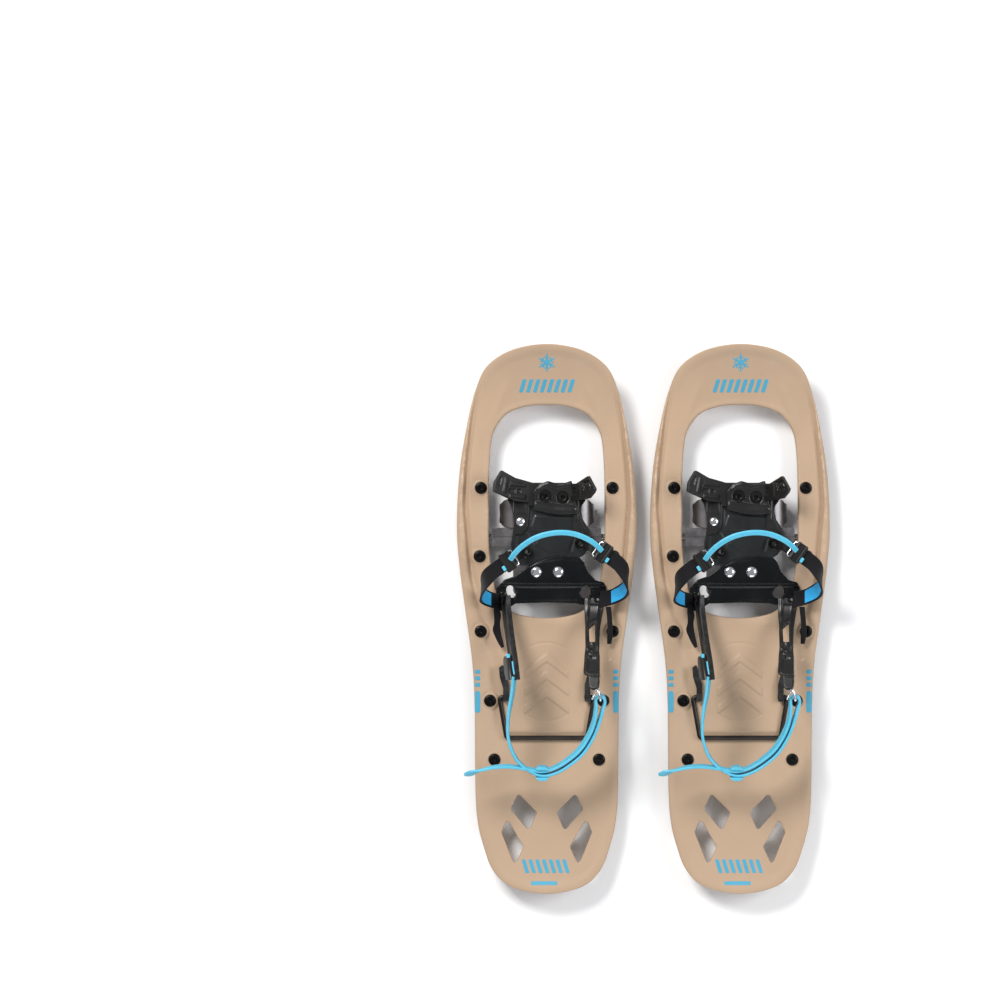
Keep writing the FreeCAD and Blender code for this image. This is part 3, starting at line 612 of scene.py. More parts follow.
bright = metal("bright_steel", (0.82, 0.82, 0.84), 0.16, stain=0.12, bump=0.06)
wire_black = metal("blackened_wire", (0.045, 0.040, 0.038), 0.38, stain=0.3)
webbing = woven("black_webbing", (0.0048, 0.0046, 0.0058))
lining = woven("blue_lining", (0.030, 0.31, 0.60), spread=0.18, lift=0.5)

# ------------------------------------------------------------------ deck
# (y, x) along the valley that runs down each side of the deck
VALLEY = np.array([(-400, 57), (-150, 57), (-110, 57), (-80, 58), (-45, 61.5), (-13, 67), (22, 77.5), (48, 84),
                   (74, 87.5), (130, 92), (168, 90), (213, 85.5), (231, 83), (250, 79.5), (262, 75), (400, 75)])
CHEVRON = [(0, 19), (25, 0), (25, -9), (0, 10), (-25, -9), (-25, 0)]
CHEVRON_LOW_Y, CHEVRON_PITCH = -98.0, 20.0
deck_outer = even(catmull(full_loop(DECK_HALF), 12, True), 2.6)
deck_opening = even(catmull(full_loop(OPENING_HALF), 12, True), 2.2)
tail_windows = [outlined([(x * flip, y) for x, y in hole], 3.2, 1.3) for hole in TAIL_HOLES for flip in (1, -1)]


def curl(y):
    """How far the nose and the tail turn up."""
    toe = np.clip(y - TOE_CURVE_Y, 0, TOE_RADIUS - 1)
    tail = np.clip(TAIL_CURVE_Y - y, 0, TAIL_RADIUS - 1)
    return (TOE_RADIUS - np.sqrt(TOE_RADIUS ** 2 - toe ** 2)
            + TAIL_RADIUS - np.sqrt(TAIL_RADIUS ** 2 - tail ** 2))


def valley_at(y):
    """The valley's distance from the middle and half its width. It is narrower at the front."""
    return np.interp(y, VALLEY[:, 0], VALLEY[:, 1]), 6.5 - 3.7 * ramp(-10, 70, y)


def deck_height(p):
    """The deck's upper surface."""
    x, y = np.abs(p[:, 0]), p[:, 1]
    d_open = edge_distance(p, deck_opening)
    d_out = edge_distance(p, deck_outer)
    centre, half = valley_at(y)
    front = ramp(-10, 70, y)
    # the valley and the raised band outside it fade out at the nose and the tail, where a plain rim takes over
    live = ramp(270, 240, y) * ramp(-160, -118, y)
    outer_band = ramp(0, 1, (x - centre) / (half * 1.3)) * ramp(0.3, 4, d_out)
    h = live * (-(2.5 + 0.5 * front) * ridge(x, centre, half) + (1.0 + 2.2 * front) * outer_band)
    h += (1 - live) * 0.9 * ramp(0.3, 5, d_out) * ramp(14, 6, d_out)
    # a lip beside the opening, and a slanted rib at each of its front corners
    h += 1.3 * ridge(d_open, 2.4, 1.5) * ramp(20, 60, y) * ramp(262, 232, y)
    h += 1.4 * ridge(x, 47 + (262 - y) * 0.36, 4.5) * ramp(205, 225, y) * ramp(272, 252, y)
    for rx, ry in RIVET_SPOTS:
        r = np.hypot(x - rx, y - ry)
        h = h * ramp(8.3, 12, r) + 0.65 * ramp(9.3, 8.3, r)
    # the heel pad, the swell in front of it, its two arcs, and the dish and groove at its rear end
    h += 0.7 * ramp(43.5, 41.5, x) * ramp(2, -6, y) * ramp(-129.5, -127.5, y)
    h += 2.6 * ridge(y, 2, 15) * ramp(52, 40, x) * ramp(12, 2, y)
    h -= 0.7 * ridge(np.hypot(x, y - PAD_CENTRE_Y), 44, 0.8) * ramp(28, 22, x)
    h -= 0.8 * ramp(24, 10, np.hypot(x, (y - PAD_END_Y) * 1.3)) * ramp(-129, -126, y)
    h -= 1.3 * ridge(y, PAD_END_Y, 2.6) * ramp(49, 46, x)
    near = (x < 30) & (y > -112) & (y < -28)
    if near.any():
        for k in range(3):
            loop = np.add(CHEVRON, (0, CHEVRON_LOW_Y + CHEVRON_PITCH * k))
            h[near] += raised(p[near], loop, 1.3)
    return DECK_TOP + curl(y) + h


def deck_under(p):
    """The lower surface, with a skirt round the outside and a lip round the opening."""
    skirt = SKIRT_DEPTH * ramp(4.2, 3.4, edge_distance(p, deck_outer))
    lip = LIP_DEPTH * ramp(3.8, 3.0, edge_distance(p, deck_opening))
    return DECK_TOP - DECK_THICK + curl(p[:, 1]) - np.maximum(skirt, lip)


# points along the valleys and round the rivets, so that the mesh follows them
guides = []
for y in np.arange(-158, 270, 1.9):
    centre, reach = valley_at(y)
    for k in np.linspace(-1.9, 1.9, 9):
        guides += [(centre + k * reach, y), (-centre - k * reach, y)]
RIVETS_BOTH_SIDES = [(x * flip, y) for x, y in RIVET_SPOTS for flip in (1, -1)]
for x, y in RIVETS_BOTH_SIDES:
    guides += [tuple(q) for r in (7.6, 8.4, 9.2, 10.2, 11.5) for q in circle(x, y, r, 36)]
deck_part = relief(deck_outer, [deck_opening] + tail_windows, 3.0, deck_height, deck_under, 1.5,
                   fine=((-47, -137, 47, -6), 1.2), under_fillet=0.5, extra=np.array(guides))
piece("deck_shell", deck_part, tan_plastic, "shoe", ["deck"], sharp=50)


def mark(outer):
    """A printed shape: a thin skin that follows the deck."""
    return relief(outer, [], 2.0, lambda p: deck_height(p) + 0.16, lambda p: deck_height(p) - 0.3, 0.12,
                  under_fillet=0)


def slanted(x, y, width, height, lean, radius):
    w, h = width / 2, height / 2
    s = lean * h
    corners = [(x - w - s, y - h), (x + w - s, y - h), (x + w + s, y + h), (x - w + s, y + h)]
    return mark(outlined(corners, radius, 1.2))


CRYSTAL_Y = 289
CRYSTAL_ARM = ((3.6, -0.8), (6.2, -3.2), (7.4, -2.4), (6.0, -0.8), (10.2, -0.8), (10.2, 0.8), (6.0, 0.8),
               (7.4, 2.4), (6.2, 3.2), (3.6, 0.8))
crystal = []
for k in range(6):
    a = math.radians(60 * k + 90)
    crystal += [(r * math.cos(a) - off * math.sin(a), CRYSTAL_Y + r * math.sin(a) + off * math.cos(a))
                for r, off in CRYSTAL_ARM]
marks = [mark(even(crystal, 0.8))]
marks += [slanted(-27 + 7.8 * k, 263, 4.6, 15.0, 0.3, 1.2) for k in range(8)]
marks += [slanted(-24 + 7.6 * k, -279, 4.4, 15.5, -0.3, 1.2) for k in range(7)]
marks.append(slanted(-3, -298, 30, 4.2, 0.0, 1.4))
for x in (-78, 78):
    marks += [slanted(x, -59.5 - 7.4 * k, 6.0, 4.6, 0.0, 0.8) for k in range(3)]
    marks.append(slanted(x, -93.5, 6.2, 24.5, 0.0, 2.6))
piece("deck_print", merged(*marks), blue_print, "shoe")

# ------------------------------------------------------------------ rail rivets
CAP = [(0, 1.15), (1.6, 1.15), (2.0, 1.35), (2.6, 2.1), (4.6, 2.15), (5.7, 1.9), (6.4, 1.45), (6.85, 0.7),
       (6.9, 0.0), (6.7, -0.4), (3.0, -0.4), (3.0, -7.6), (4.0, -7.7), (4.0, -8.8), (0, -9.0)]
caps = [turned(CAP, (x, y, DECK_TOP + 0.75), count=32) for x, y in RIVETS_BOTH_SIDES]
piece("rivet_caps", merged(*caps), cap_plastic, "shoe", ["rail_rivets"])

# ------------------------------------------------------------------ footbed and heel plate
def plate(outline, holes, base, low, spacing=1.3, radius=2.5, fillet=0.9, features=(), dishes=()):
    """A moulded plate with raised facets and round dishes, each of them (x, y, radius, depth)."""
    def top(p):
        z = facets(p, level(p, base), features)
        for x, y, r, depth in dishes:
            z = z - depth * ramp(r + 0.5, r - 0.5, np.hypot(p[:, 0] - x, p[:, 1] - y))
        return z

    return relief(outlined(outline, radius, 1.2), holes, spacing, top, low, fillet)


def oval(x, y, a, b, tilt):
    c, s = math.cos(math.radians(tilt)), math.sin(math.radians(tilt))
    return circle(0, 0, 1, 26) * (a, b) @ np.array([(c, s), (-s, c)]) + (x, y)


BED = [(34, 150), (-34, 150), (-38.5, 134), (-37.6, 118), (-37, 107), (-38.5, 96), (-40.5, 85), (-39.5, 74),
       (-31, 61.5), (-20, 60.8), (-10, 65.6), (0.6, 69.6), (19, 71.4), (38, 69.6), (43, 73), (49.5, 84), (52, 94),
       (47, 103), (41, 112), (38.5, 124), (36, 137)]
BED_FEATURES = [([(-13, 117), (34, 114.5), (38, 101), (-19, 101)], 0.9, 0.8),
                ([(-9, 96), (31, 97), (24, 74.5), (5, 73.5), (-12, 84)], 0.8, 0.7),
                ([(-33, 97), (-22, 98), (-14, 84), (-22, 69), (-35, 74)], 0.7, 0.8),
                ([(34, 98), (46, 97), (45, 84), (38, 73), (28, 74.5)], 0.7, 0.8),
                ([(-35, 131), (-17.5, 126), (-17.5, 104), (-24, 99), (-34.5, 102)], 0.6, 0.8)]
piece("footbed_shell", plate(BED, [], BED_TOP, PLATE_TOP, features=BED_FEATURES), dark_plastic, "binding",
      ["footbed"])

HEEL_TOP = 31.0
HEEL = [(-20, 59.9), (-10, 64.7), (0.6, 68.7), (19, 70.5), (38, 68.6), (42.5, 63.5), (46.5, 53), (55, 43.8),
        (64.5, 41.5), (67.5, 35), (67.5, 22), (63, 12), (56, 8.5), (46, 14.5), (33, 17.6), (0, 18.6), (-35, 17.4),
        (-47, 10), (-54, 9), (-57.5, 21), (-57, 34), (-48, 44.5), (-36, 48.5)]
HEEL_HOLES = [oval(43.6, 30.6, 5.6, 7.4, -25), oval(-40.4, 31.0, 5.0, 7.2, 22)]
HEEL_FEATURES = [([(65, 40.6), (-56, 40.6), (-56, 39.2), (65, 39.2)], 0.6, 0.35),
                 ([(66, 37.4), (-57, 37.4), (-57, 35.6), (66, 35.6)], 0.8, 0.35),
                 ([(33, 34), (-33, 34), (-36, 21), (34, 21)], -0.7, 0.8),
                 ([(-28, 56), (-6, 64), (17, 67.5), (37, 66), (43, 52), (38, 42.5), (-30, 42.5)], 0.5, 0.9),
                 ([(-52, 30), (-47, 30), (-47, 14), (-52, 14)], 0.8, 0.6),
                 ([(52, 33), (61, 31), (61, 16), (54, 14)], 0.6, 0.8)]
piece("heel_plate_shell", plate(HEEL, HEEL_HOLES, HEEL_TOP, PLATE_TOP, fillet=1.0, features=HEEL_FEATURES),
      deep_plastic, "binding", ["heel_plate"])

# ------------------------------------------------------------------ toe cradle, clamp and their fastenings
CRADLE_THICK = 3.4
WING_Y = 145
LEFT_WING = [(-9, -15), (21, -12), (33, -7.4), (50.2, -1), (49, 9), (38.7, 23), (20, 14.5), (-9, 8)]
LEFT_WING_FEATURES = [([(40.8, 16.0), (38.2, 15.2), (41.2, 5.8), (43.7, 6.5)], -1.9),
                      ([(12, 1.2), (12, -2.4), (17, -2.4), (17, 1.2)], -1.7),
                      ([(30, 14), (34, 15), (38, -1), (33.5, -3)], 0.6),
                      ([(6, 7.4), (26, 10.5), (29, 5.5), (6, 4)], 0.7),
                      ([(20, 1.5), (28, 2.4), (29.5, -2.2), (20, -3)], -0.9),
                      ([(6, -5), (28, -4.5), (28, -7.5), (6, -10)], 0.6)]
RIGHT_WING = [(-9, -13), (17, -11.2), (37.2, -8.6), (45.1, -2.2), (47.3, 1.8), (35.1, 16.7), (14, 8), (-9, 8)]
RIGHT_WING_FEATURES = [([(25, 9.2), (37, 11.6), (41.0, 2.0), (28, 0.6)], -2.0),
                       ([(4, 2.8), (14, 3.2), (14, -4.6), (4, -5)], -1.9),
                       ([(19, 8), (22.2, 9), (23.4, -7), (18.6, -7)], 0.8),
                       ([(28, 6.5), (36, 8.2), (38, 4.2), (29.5, 3)], 0.9)]


def wing(outline, features, tilt, root_x):
    def top(p):
        return facets(p, level(p, CRADLE_THICK), features)

    lift = Matrix.Translation((root_x, WING_Y, BED_TOP)) @ Matrix.Rotation(math.radians(-tilt), 4, "Y")
    return placed(relief(outlined(outline, 2.2, 1.1), [], 0.9, top, 0, 0.8), lift)


def leg_plate(outline, features):
    """A leg of the cradle, whose outer front corner rises to meet the wing."""
    def low(p):
        return BED_TOP + 0.9 * np.clip(np.abs(p[:, 0]) - 37.5, 0, 12) * ramp(113, 124, p[:, 1])

    def top(p):
        return facets(p, low(p) + CRADLE_THICK, features)

    return relief(outlined(outline, 2.4, 1.1), [], 1.2, top, low, 0.9)


left_wing = mirrored(wing(LEFT_WING, LEFT_WING_FEATURES, 36, 21))
right_wing = wing(RIGHT_WING, RIGHT_WING_FEATURES, 50, 26)
middle = plate([(27, 154), (-27, 154), (-37, 137), (-36.5, 128), (36.5, 128), (37, 137)], [],
               BED_TOP + CRADLE_THICK, BED_TOP)
right_leg = leg_plate([(45.5, 136.5), (24, 137), (30, 120), (29.5, 98), (34, 86), (44, 82), (50, 88), (50.5, 95),
                       (44.4, 102), (39.8, 110.5), (37.5, 119), (39.5, 127.5)],
                      [([(40, 101), (46, 96), (45, 88), (36, 90), (33, 99)], -0.9, 0.6),
                       ([(31.5, 134), (36, 134), (35, 112), (33, 112)], 0.6, 0.6)])
left_leg = leg_plate([(-45.8, 136.5), (-22, 137), (-19.5, 122), (-21.5, 104), (-27, 96), (-37.5, 95), (-36.6, 107),
                      (-38.3, 120), (-41, 129)],
                     [([(-34, 131), (-24, 131), (-22.5, 119), (-34, 119)], 0.5, 0.6)])
piece("toe_cradle_shell", merged(middle, right_leg, left_leg, left_wing, right_wing), black_plastic, "binding",
      ["toe_cradle"])

CLAMP_Z = BED_TOP + 6.8
CLAMP_SCREWS = [(-1.7, 138.4), (18.0, 137.1)]
CLAMP = [(-8.5, 152.2), (1.2, 156), (11.5, 153), (20, 153.6), (28.4, 156.6), (29.2, 148), (30.5, 137.6),
         (36.4, 119.6), (24, 118.2), (12.3, 118.2), (0, 120), (-14.9, 123.6), (-14.9, 144.4)]
CLAMP_FEATURES = [([(-7, 150.6), (2, 154.2), (12, 151.4), (27.4, 154.2), (27.6, 150.2), (12, 147.4), (0, 149.4),
                    (-10, 146)], 0.9, 0.6),
                  ([(-12.6, 129), (10, 124.6), (33, 124), (31, 129.5), (10, 131), (-12.6, 134)], -1.0, 0.7)]
clamp = plate(CLAMP, [], CLAMP_Z, BED_TOP + 3.3, spacing=1.1, radius=1.8, features=CLAMP_FEATURES,
              dishes=[(x, y, 6.9, 1.0) for x, y in CLAMP_SCREWS])
piece("toe_clamp_shell", clamp, black_plastic, "binding", ["toe_clamp"])

SCREW = [(0, 0.5), (2.2, 0.5), (2.4, 1.9), (3.6, 2.5), (4.9, 2.3), (5.5, 1.6), (5.6, 0.4), (5.6, -0.4), (0, -0.5)]
RIVET = [(0, 2.5), (1.9, 2.45), (3.3, 2.3), (4.8, 1.75), (5.9, 0.95), (6.45, 0.2), (6.5, -0.5), (0, -0.6)]
PIN = [(0, 1.4), (1.4, 1.3), (2.2, 0.6), (2.3, -0.6), (0, -0.7)]


def fastener(profile, spot, size=1.0, axis=UP):
    return turned([(r * size, h * size) for r, h in profile], spot, axis)


screws = [fastener(SCREW, (x, y, CLAMP_Z - 0.7), 1.04) for x, y in CLAMP_SCREWS]
piece("toe_screw_heads", merged(*screws), cap_plastic, "binding", ["toe_screws"])
rivets = [fastener(RIVET, (x, 53.1, HEEL_TOP + 0.5)) for x in (-11.8, 13.1)]
rivets.append(fastener(RIVET, (-29.5, 110, BED_TOP + 3.9), 0.8))
piece("bright_rivets", merged(*rivets), bright, "binding", ["bed_rivets"])

# ------------------------------------------------------------------ arms
ARM_ACROSS = (0.35, 0, 0.94)
ARM_OUT = (-1, -0.1, 0)
ARM_LINE = [((-46.5, 27, 41), 17), ((-45, 8, 47), 15), ((-41.5, -20, 61), 15), ((-38, -45, 78), 16),
            ((-35.6, -67, 91), 17)]
CHEEK_LINE = [((-43.8, -41, 76), 11), ((-44.0, -45, 78.5), 15), ((-43.2, -53, 83), 17), ((-42.2, -61, 87.4), 17),
              ((-41.0, -67, 90.6), 15)]
SLIT_LINE = [((-38.9, -46.5, 88.2), 1.4), ((-38.0, -54, 91.6), 2.2), ((-36.8, -61, 95.2), 1.4)]
NUB_LINE = [((-43.8, -38.5, 78), 6), ((-44.0, -42.5, 80.5), 8)]


def ribbed_bar(thick, groove=0.9):
    """A bar with a groove along both faces."""
    def section(width):
        h, t = width / 2, thick / 2
        right = [(h * 0.42, -t + groove), (h * 0.55, -t), (h - 0.8, -t), (h, -t + 0.8), (h, t - 0.8), (h - 0.8, t),
                 (h * 0.55, t), (h * 0.42, t - groove)]
        return right[2:] + [(-u, -v) for u, v in right] + right[:2]
    return section


def on_arm(line, section, steps):
    """A bar or strap that leans as the left arm does."""
    return sweep([(centre, ARM_ACROSS, ARM_OUT, width) for centre, width in line], section, steps)


strap_arm = merged(on_arm(ARM_LINE, ribbed_bar(6.4), 8), on_arm(CHEEK_LINE, strap_section(7.2, corner=0.42), 7))
piece("strap_arm_shell", strap_arm, black_plastic, "binding", ["strap_arm"])
seen_strap = merged(on_arm(SLIT_LINE, strap_section(1.7, corner=0.4), 6),
                    on_arm(NUB_LINE, strap_section(3.4, corner=0.45), 4))
piece("strap_seen_in_arm", seen_strap, blue_rubber, "binding")

TO_RIGHT = (1, 0, 0.12)
FACE_UP = (0, 0.5, 0.87)
BUCKLE_ARM = [((54, 24, 33.8), TO_RIGHT, (0, 0.1, 1)), ((52.5, 8, 38), TO_RIGHT, FACE_UP),
              ((51, -12, 50), TO_RIGHT, FACE_UP), ((51, -38, 66), TO_RIGHT, FACE_UP),
              ((50.6, -66, 85.4), TO_RIGHT, FACE_UP)]
ARM_LENGTH, ARM_HALF_THICK = 100.0, 2.1
ARM_EDGE = [(-11.5, 0), (11.5, 0), (10.8, 14), (9.0, 34), (7.8, 64), (8.6, 72), (8.8, 99), (2, 100), (-9.8, 93.5),
            (-8.8, 72), (-7.6, 60), (-7.8, 34), (-10.3, 14)]
ARM_SLOT = [(-3.6, 36.5), (3.5, 29), (3.5, 54), (-3.0, 54)]
ARM_FEATURES = [([(-6.5, 8), (6.5, 8), (5.0, 24), (-5.5, 30)], -0.8, 0.6),
                ([(-8.4, 68), (8.4, 68), (8.4, 98), (-8.4, 98)], 1.3, 0.6),
                ([(-4.5, 75), (4.5, 75), (4.5, 93), (-4.5, 93)], -0.8, 0.6)]
TIP = [((52.2, -60, 81.8), TO_RIGHT, FACE_UP), ((52.6, -69, 86.2), TO_RIGHT, FACE_UP),
       ((53.0, -78, 90.8), TO_RIGHT, FACE_UP)]
TIP_LENGTH, TIP_HALF_THICK = 21.0, 1.9
TIP_EDGE = [(-6.2, 0), (6.2, 0), (6.6, 10), (5.4, 18), (2.4, 21), (-3.4, 21), (-6.2, 16)]


def arm_top(p):
    """The buckle arm's face, with two edge ribs and two raised rings as well as its facets."""
    x, y = p[:, 0], p[:, 1]
    z = facets(p, level(p, ARM_HALF_THICK), ARM_FEATURES)
    z += 0.9 * (ridge(x - 0.02 * y, -6.2, 0.8) + ridge(x, 6.4, 0.8)) * ramp(66, 58, y)
    for ring_y, radius in ((59.5, 3.6), (66.5, 2.2)):
        z += 0.9 * ridge(np.hypot(x + 1.5, (y - ring_y) * 0.8), radius, 0.6)
    return z


buckle_arm = relief(outlined(ARM_EDGE, 2.5, 1.3), [outlined(ARM_SLOT, 1.5, 0.9)], 1.2, arm_top,
                    -ARM_HALF_THICK, 0.9)
tip = relief(outlined(TIP_EDGE, 2.6, 1.0), [], 1.2, TIP_HALF_THICK, -TIP_HALF_THICK, 1.3)
buckle_arm = merged(bent(buckle_arm, BUCKLE_ARM, ARM_LENGTH), bent(tip, TIP, TIP_LENGTH))
piece("buckle_arm_shell", buckle_arm, black_plastic, "binding", ["buckle_arm"])

pins = merged(fastener(SCREW, (57.5, 22.5, 36.0), 0.8), fastener(PIN, (49.3, -42.5, 71.6), axis=FACE_UP),
              fastener(SCREW, (-50.3, 22, 43), 0.8, (-1, 0, 0.25)))
piece("arm_pins", pins, cap_plastic, "binding", ["arm_rivets"])

# ------------------------------------------------------------------ webbing
WEB = 18.0
LONG_WEB = [
    ((60, 22, 39.6), FORWARD, (0, 0, -1), WEB), ((73, 25, 40.2), FORWARD, (0.3, 0, -1), WEB),
    ((85, 31, 45), (-0.35, 0.88, -0.28), (0.7, 0.06, -0.69), WEB),
    ((90.5, 38, 59), (-0.1, 0.86, -0.5), (0.99, 0.03, -0.15), WEB),
    ((89, 49, 75), (0.3, 0.78, -0.62), (0.97, -0.07, 0.38), WEB),
    ((82.5, 60.5, 83.5), (0.7, 0.7, -0.2), (0.44, -0.19, 0.89), 17),
    ((73, 68.5, 87), (0.6, 0.78, 0), (0.16, -0.12, 0.97), 17), ((63.5, 75, 88.5), (0.55, 0.83, 0), UP, 17)]
SHORT_WEB = [
    ((-54, 20, 37.0), FORWARD, (0, 0, -1), WEB), ((-63, 22, 38.0), FORWARD, (-0.3, 0, -1), WEB),
    ((-71, 26, 44), (0.3, 0.9, -0.29), (-0.85, 0.12, -0.5), WEB),
    ((-73.5, 32, 58), (0.1, 0.88, -0.45), (-0.99, 0.09, -0.05), WEB),
    ((-71, 41.5, 74), (-0.3, 0.85, -0.5), (-0.94, -0.09, 0.42), WEB),
    ((-64, 51, 83.5), (-0.68, 0.7, -0.1), (-0.4, -0.27, 0.86), 17),
    ((-54.5, 58.5, 87), (-0.6, 0.8, 0), (-0.15, -0.1, 0.98), 17), ((-45, 65, 88.5), (-0.5, 0.86, 0), UP, 17)]
LEFT_TAIL = [((-57, 16, 38.2), (1, 0.3, 0), UP, 5), ((-56.2, 9, 38.8), (1, 0.1, 0), UP, 7.5),
             ((-55.5, 3, 39), (1, 0.1, 0), UP, 8), ((-56.0, -4, 38), (1, 0, 0), UP, 6.8),
             ((-56.5, -12, 36), (1, 0, 0), UP, 9), ((-54.6, -19, 35), (1, 0.3, 0), UP, 7.5),
             ((-52, -26, 33.8), (1, 0.45, 0), UP, 6), ((-49.5, -32, 32.5), (1, 0.5, 0), UP, 3.6)]
RIGHT_TAIL = [((69.5, 14, 40), (0.8, 0, 0.6), UP, 7), ((71, -2, 40), (0.7, 0, 0.7), UP, 7),
              ((71.5, -16, 36), (0.7, 0, 0.7), UP, 8), ((70.5, -28, 33), (0.8, 0, 0.5), UP, 5)]


def web_section(width):
    """Webbing with slightly thicker woven edges."""
    h = width / 2
    up = [(h, 0), (h - 0.3, 1.0), (h - 1.4, 1.05), (h - 1.9, 0.8), (0, 0.85), (-h + 1.9, 0.8), (-h + 1.4, 1.05),
          (-h + 0.3, 1.0), (-h, 0)]
    return up + [(u, -v) for u, v in up[-2:0:-1]]


def lining_section(width):
    h = width / 2
    return [(h, 0.3), (-h, 0.3), (-h, -0.3), (h, -0.3)]


def inner_face(stations, gap=1.25, width=13.5):
    """The same line, shifted to the strap's inner face."""
    shifted = []
    for centre, across, outward, _ in stations:
        across, outward = squared(across, outward)
        shifted.append((centre - outward * gap, across, outward, width))
    return shifted


piece("long_webbing_strap", sweep(LONG_WEB, web_section, 9), webbing, "binding", ["long_webbing"])
piece("short_webbing_strap", sweep(SHORT_WEB, web_section, 9), webbing, "binding", ["short_webbing"])
linings = merged(*[sweep(inner_face(line[1:4]), lining_section, 9) for line in (LONG_WEB, SHORT_WEB)])
piece("webbing_lining", linings, lining, "binding")
tails = merged(*[sweep(line, strap_section(2.6, corner=0.48), 7) for line in (LEFT_TAIL, RIGHT_TAIL)])
piece("hanging_tails", tails, webbing, "binding", ["webbing_tails"])


# ------------------------------------------------------------------ loop buckles, tongues and side bolts
def box_part(x0, x1, y0, y1, z0, z1, corner, fillet):
    outline = outlined([(x0, y0), (x1, y0), (x1, y1), (x0, y1)], corner, 1.0)
    return relief(outline, [], 1.4, z1, z0, fillet, under_fillet=fillet)


sleeves, tabs, links = [], [], []
for x, y, angle, side in ((63.5, 75.0, -35.0, 1), (-44.0, 65.5, 33.0, -1)):
    spot = Matrix.Translation((x, y, 88.5)) @ Matrix.Rotation(math.radians(angle), 4, "Z")
    sleeves.append(placed(box_part(-6.8, 6.8, -11.5, 11.5, -3.4, 2.2, 2.5, 1.1), spot))
    for bar in (-4.4, 4.4):
        sleeves.append(placed(box_part(bar - 1.3, bar + 1.3, -11.8, 11.8, 1.6, 4.2, 1.2, 0.9), spot))
    tab = 7.6 * side
    tabs.append(placed(box_part(tab - 1.9, tab + 1.9, -7.5, -1.5, 0.2, 3.4, 1.0, 0.8), spot))
    ring = [(-9.5 * side, -9.2, -1.0), (-9.5 * side, 9.2, -1.0), (-4 * side, 9.2, 0.5), (-4 * side, -9.2, 0.5)]
    links.append(placed(tube(ring, 0.95, 2.4, 10, True), spot))
piece("loop_buckle_sleeves", merged(*sleeves), black_plastic, "binding", ["loop_buckles"])
piece("buckle_tabs", merged(*tabs), blue_rubber, "binding")
piece("buckle_wires", merged(*links), bright, "binding")

RIGHT_TONGUE = [((59, 77.5, 88), (0.55, 0.83, 0), (0.3, 0, 1), 15),
                ((48.5, 84.5, 74), (0.3, 0.9, 0.1), (1, 0, 0.5), 15),
                ((46, 86, 55), (0.1, 1, 0), (1, 0, 0.1), 16), ((42, 85.5, 38), FORWARD, (1, 0, 0.6), 16),
                ((35, 85, BED_TOP + 4.8), FORWARD, (0.1, 0, 1), 14)]
LEFT_TONGUE = [((-40, 69, 88), (-0.5, 0.86, 0), (-0.3, 0, 1), 15),
               ((-32.5, 74.5, 74), (-0.3, 0.9, 0.1), (-1, 0, 0.5), 15),
               ((-31.5, 76, 55), (-0.1, 1, 0), (-1, 0, 0.1), 16), ((-27.5, 76, 38), FORWARD, (-1, 0, 0.6), 16),
               ((-20, 76, BED_TOP + 1.6), FORWARD, (-0.1, 0, 1), 14)]
tongues = merged(*[sweep(line, strap_section(2.4, corner=0.45), 8) for line in (RIGHT_TONGUE, LEFT_TONGUE)])
piece("instep_tongue_straps", tongues, black_plastic, "binding", ["instep_tongues"])
BOLT_SPOTS = [(37.5, 85.4, BED_TOP + 5.2), (-21.7, 75.8, BED_TOP + 2.9)]
bolts = merged(*[fastener(SCREW, spot, 1.08) for spot in BOLT_SPOTS])
piece("side_bolt_heads", bolts, cap_plastic, "binding", ["side_bolts"])

# ------------------------------------------------------------------ instep strap
ARCH_WIDTH = 6.1
ARCH = [(-41, 67.5, 91.2), (-36.5, 74, 94.5), (-28, 82.5, 98), (-14, 91.5, 101.5), (2, 96.5, 103.5),
        (18, 97.8, 104), (33, 95.5, 102.5), (47, 89.5, 99), (55.5, 83.5, 95), (61.3, 77.5, 91.2)]


def direction(path, i):
    """From the point before this one to the point after it."""
    return path[min(i + 1, len(path) - 1)] - path[max(i - 1, 0)]


arch = []
for i, spot in enumerate(np.array(ARCH)):
    ahead = direction(np.array(ARCH), i)
    across = np.array((-ahead[1], ahead[0], 0.0))
    arch.append((spot, unit(across), np.cross(ahead, across) / np.linalg.norm(ahead), ARCH_WIDTH))
piece("instep_strap_ribbed", sweep(arch, strap_section(4.0, rib=0.55, ribs=3), 7), blue_rubber, "binding",
      ["instep_strap"])

# ------------------------------------------------------------------ heel strap
# (x, y, lean in degrees) from the left arm round the heel to the wire loop, and back inside itself to the tip
RUN = [(-36.4, -62, 14), (-37, STRAP_ROOT_Y, 14), (-38.8, -83, 13), (-41.4, -97, 10), (-43.4, -112, 5),
       (-43.7, -128.7, 1), (-40.3, -143.4, 0), (-33.5, -157, 0), (-22.2, -167.5, 0), (-6.4, -174.4, 0),
       (9.4, -171.5, 2), (25.2, -162, 5), (39.9, -148.8, 8), (51.1, -131, 9), (57.9, -114, 8), (62.8, -98, 4),
       (64.6, -91, 2), (63.6, -86.6, 0), (59.8, -84.3, 0), (55.8, -86.4, 0)]
RETURN = [(54.8, -91, -2), (54.9, -98, -5), (52.9, -112.6, -8), (46.9, -128.6, -9), (36.3, -145.2, -8),
          (22.4, -157.6, -5), (7.9, -166.4, -2), (-5.5, -169.8, 0), (-16.5, -168.4, 0), (-28.6, -166.3, 0),
          (-37.2, -165.2, 0), (-47.3, -164.5, 0), (-61.6, -165.9, 2), (-74.5, -169.2, 8), (-81.5, -171.2, 22),
          (-87.5, -172.8, 30), (-93, -174.2, 32)]
STRAP_MID = STRAP_LOW_Z + STRAP_WIDTH / 2
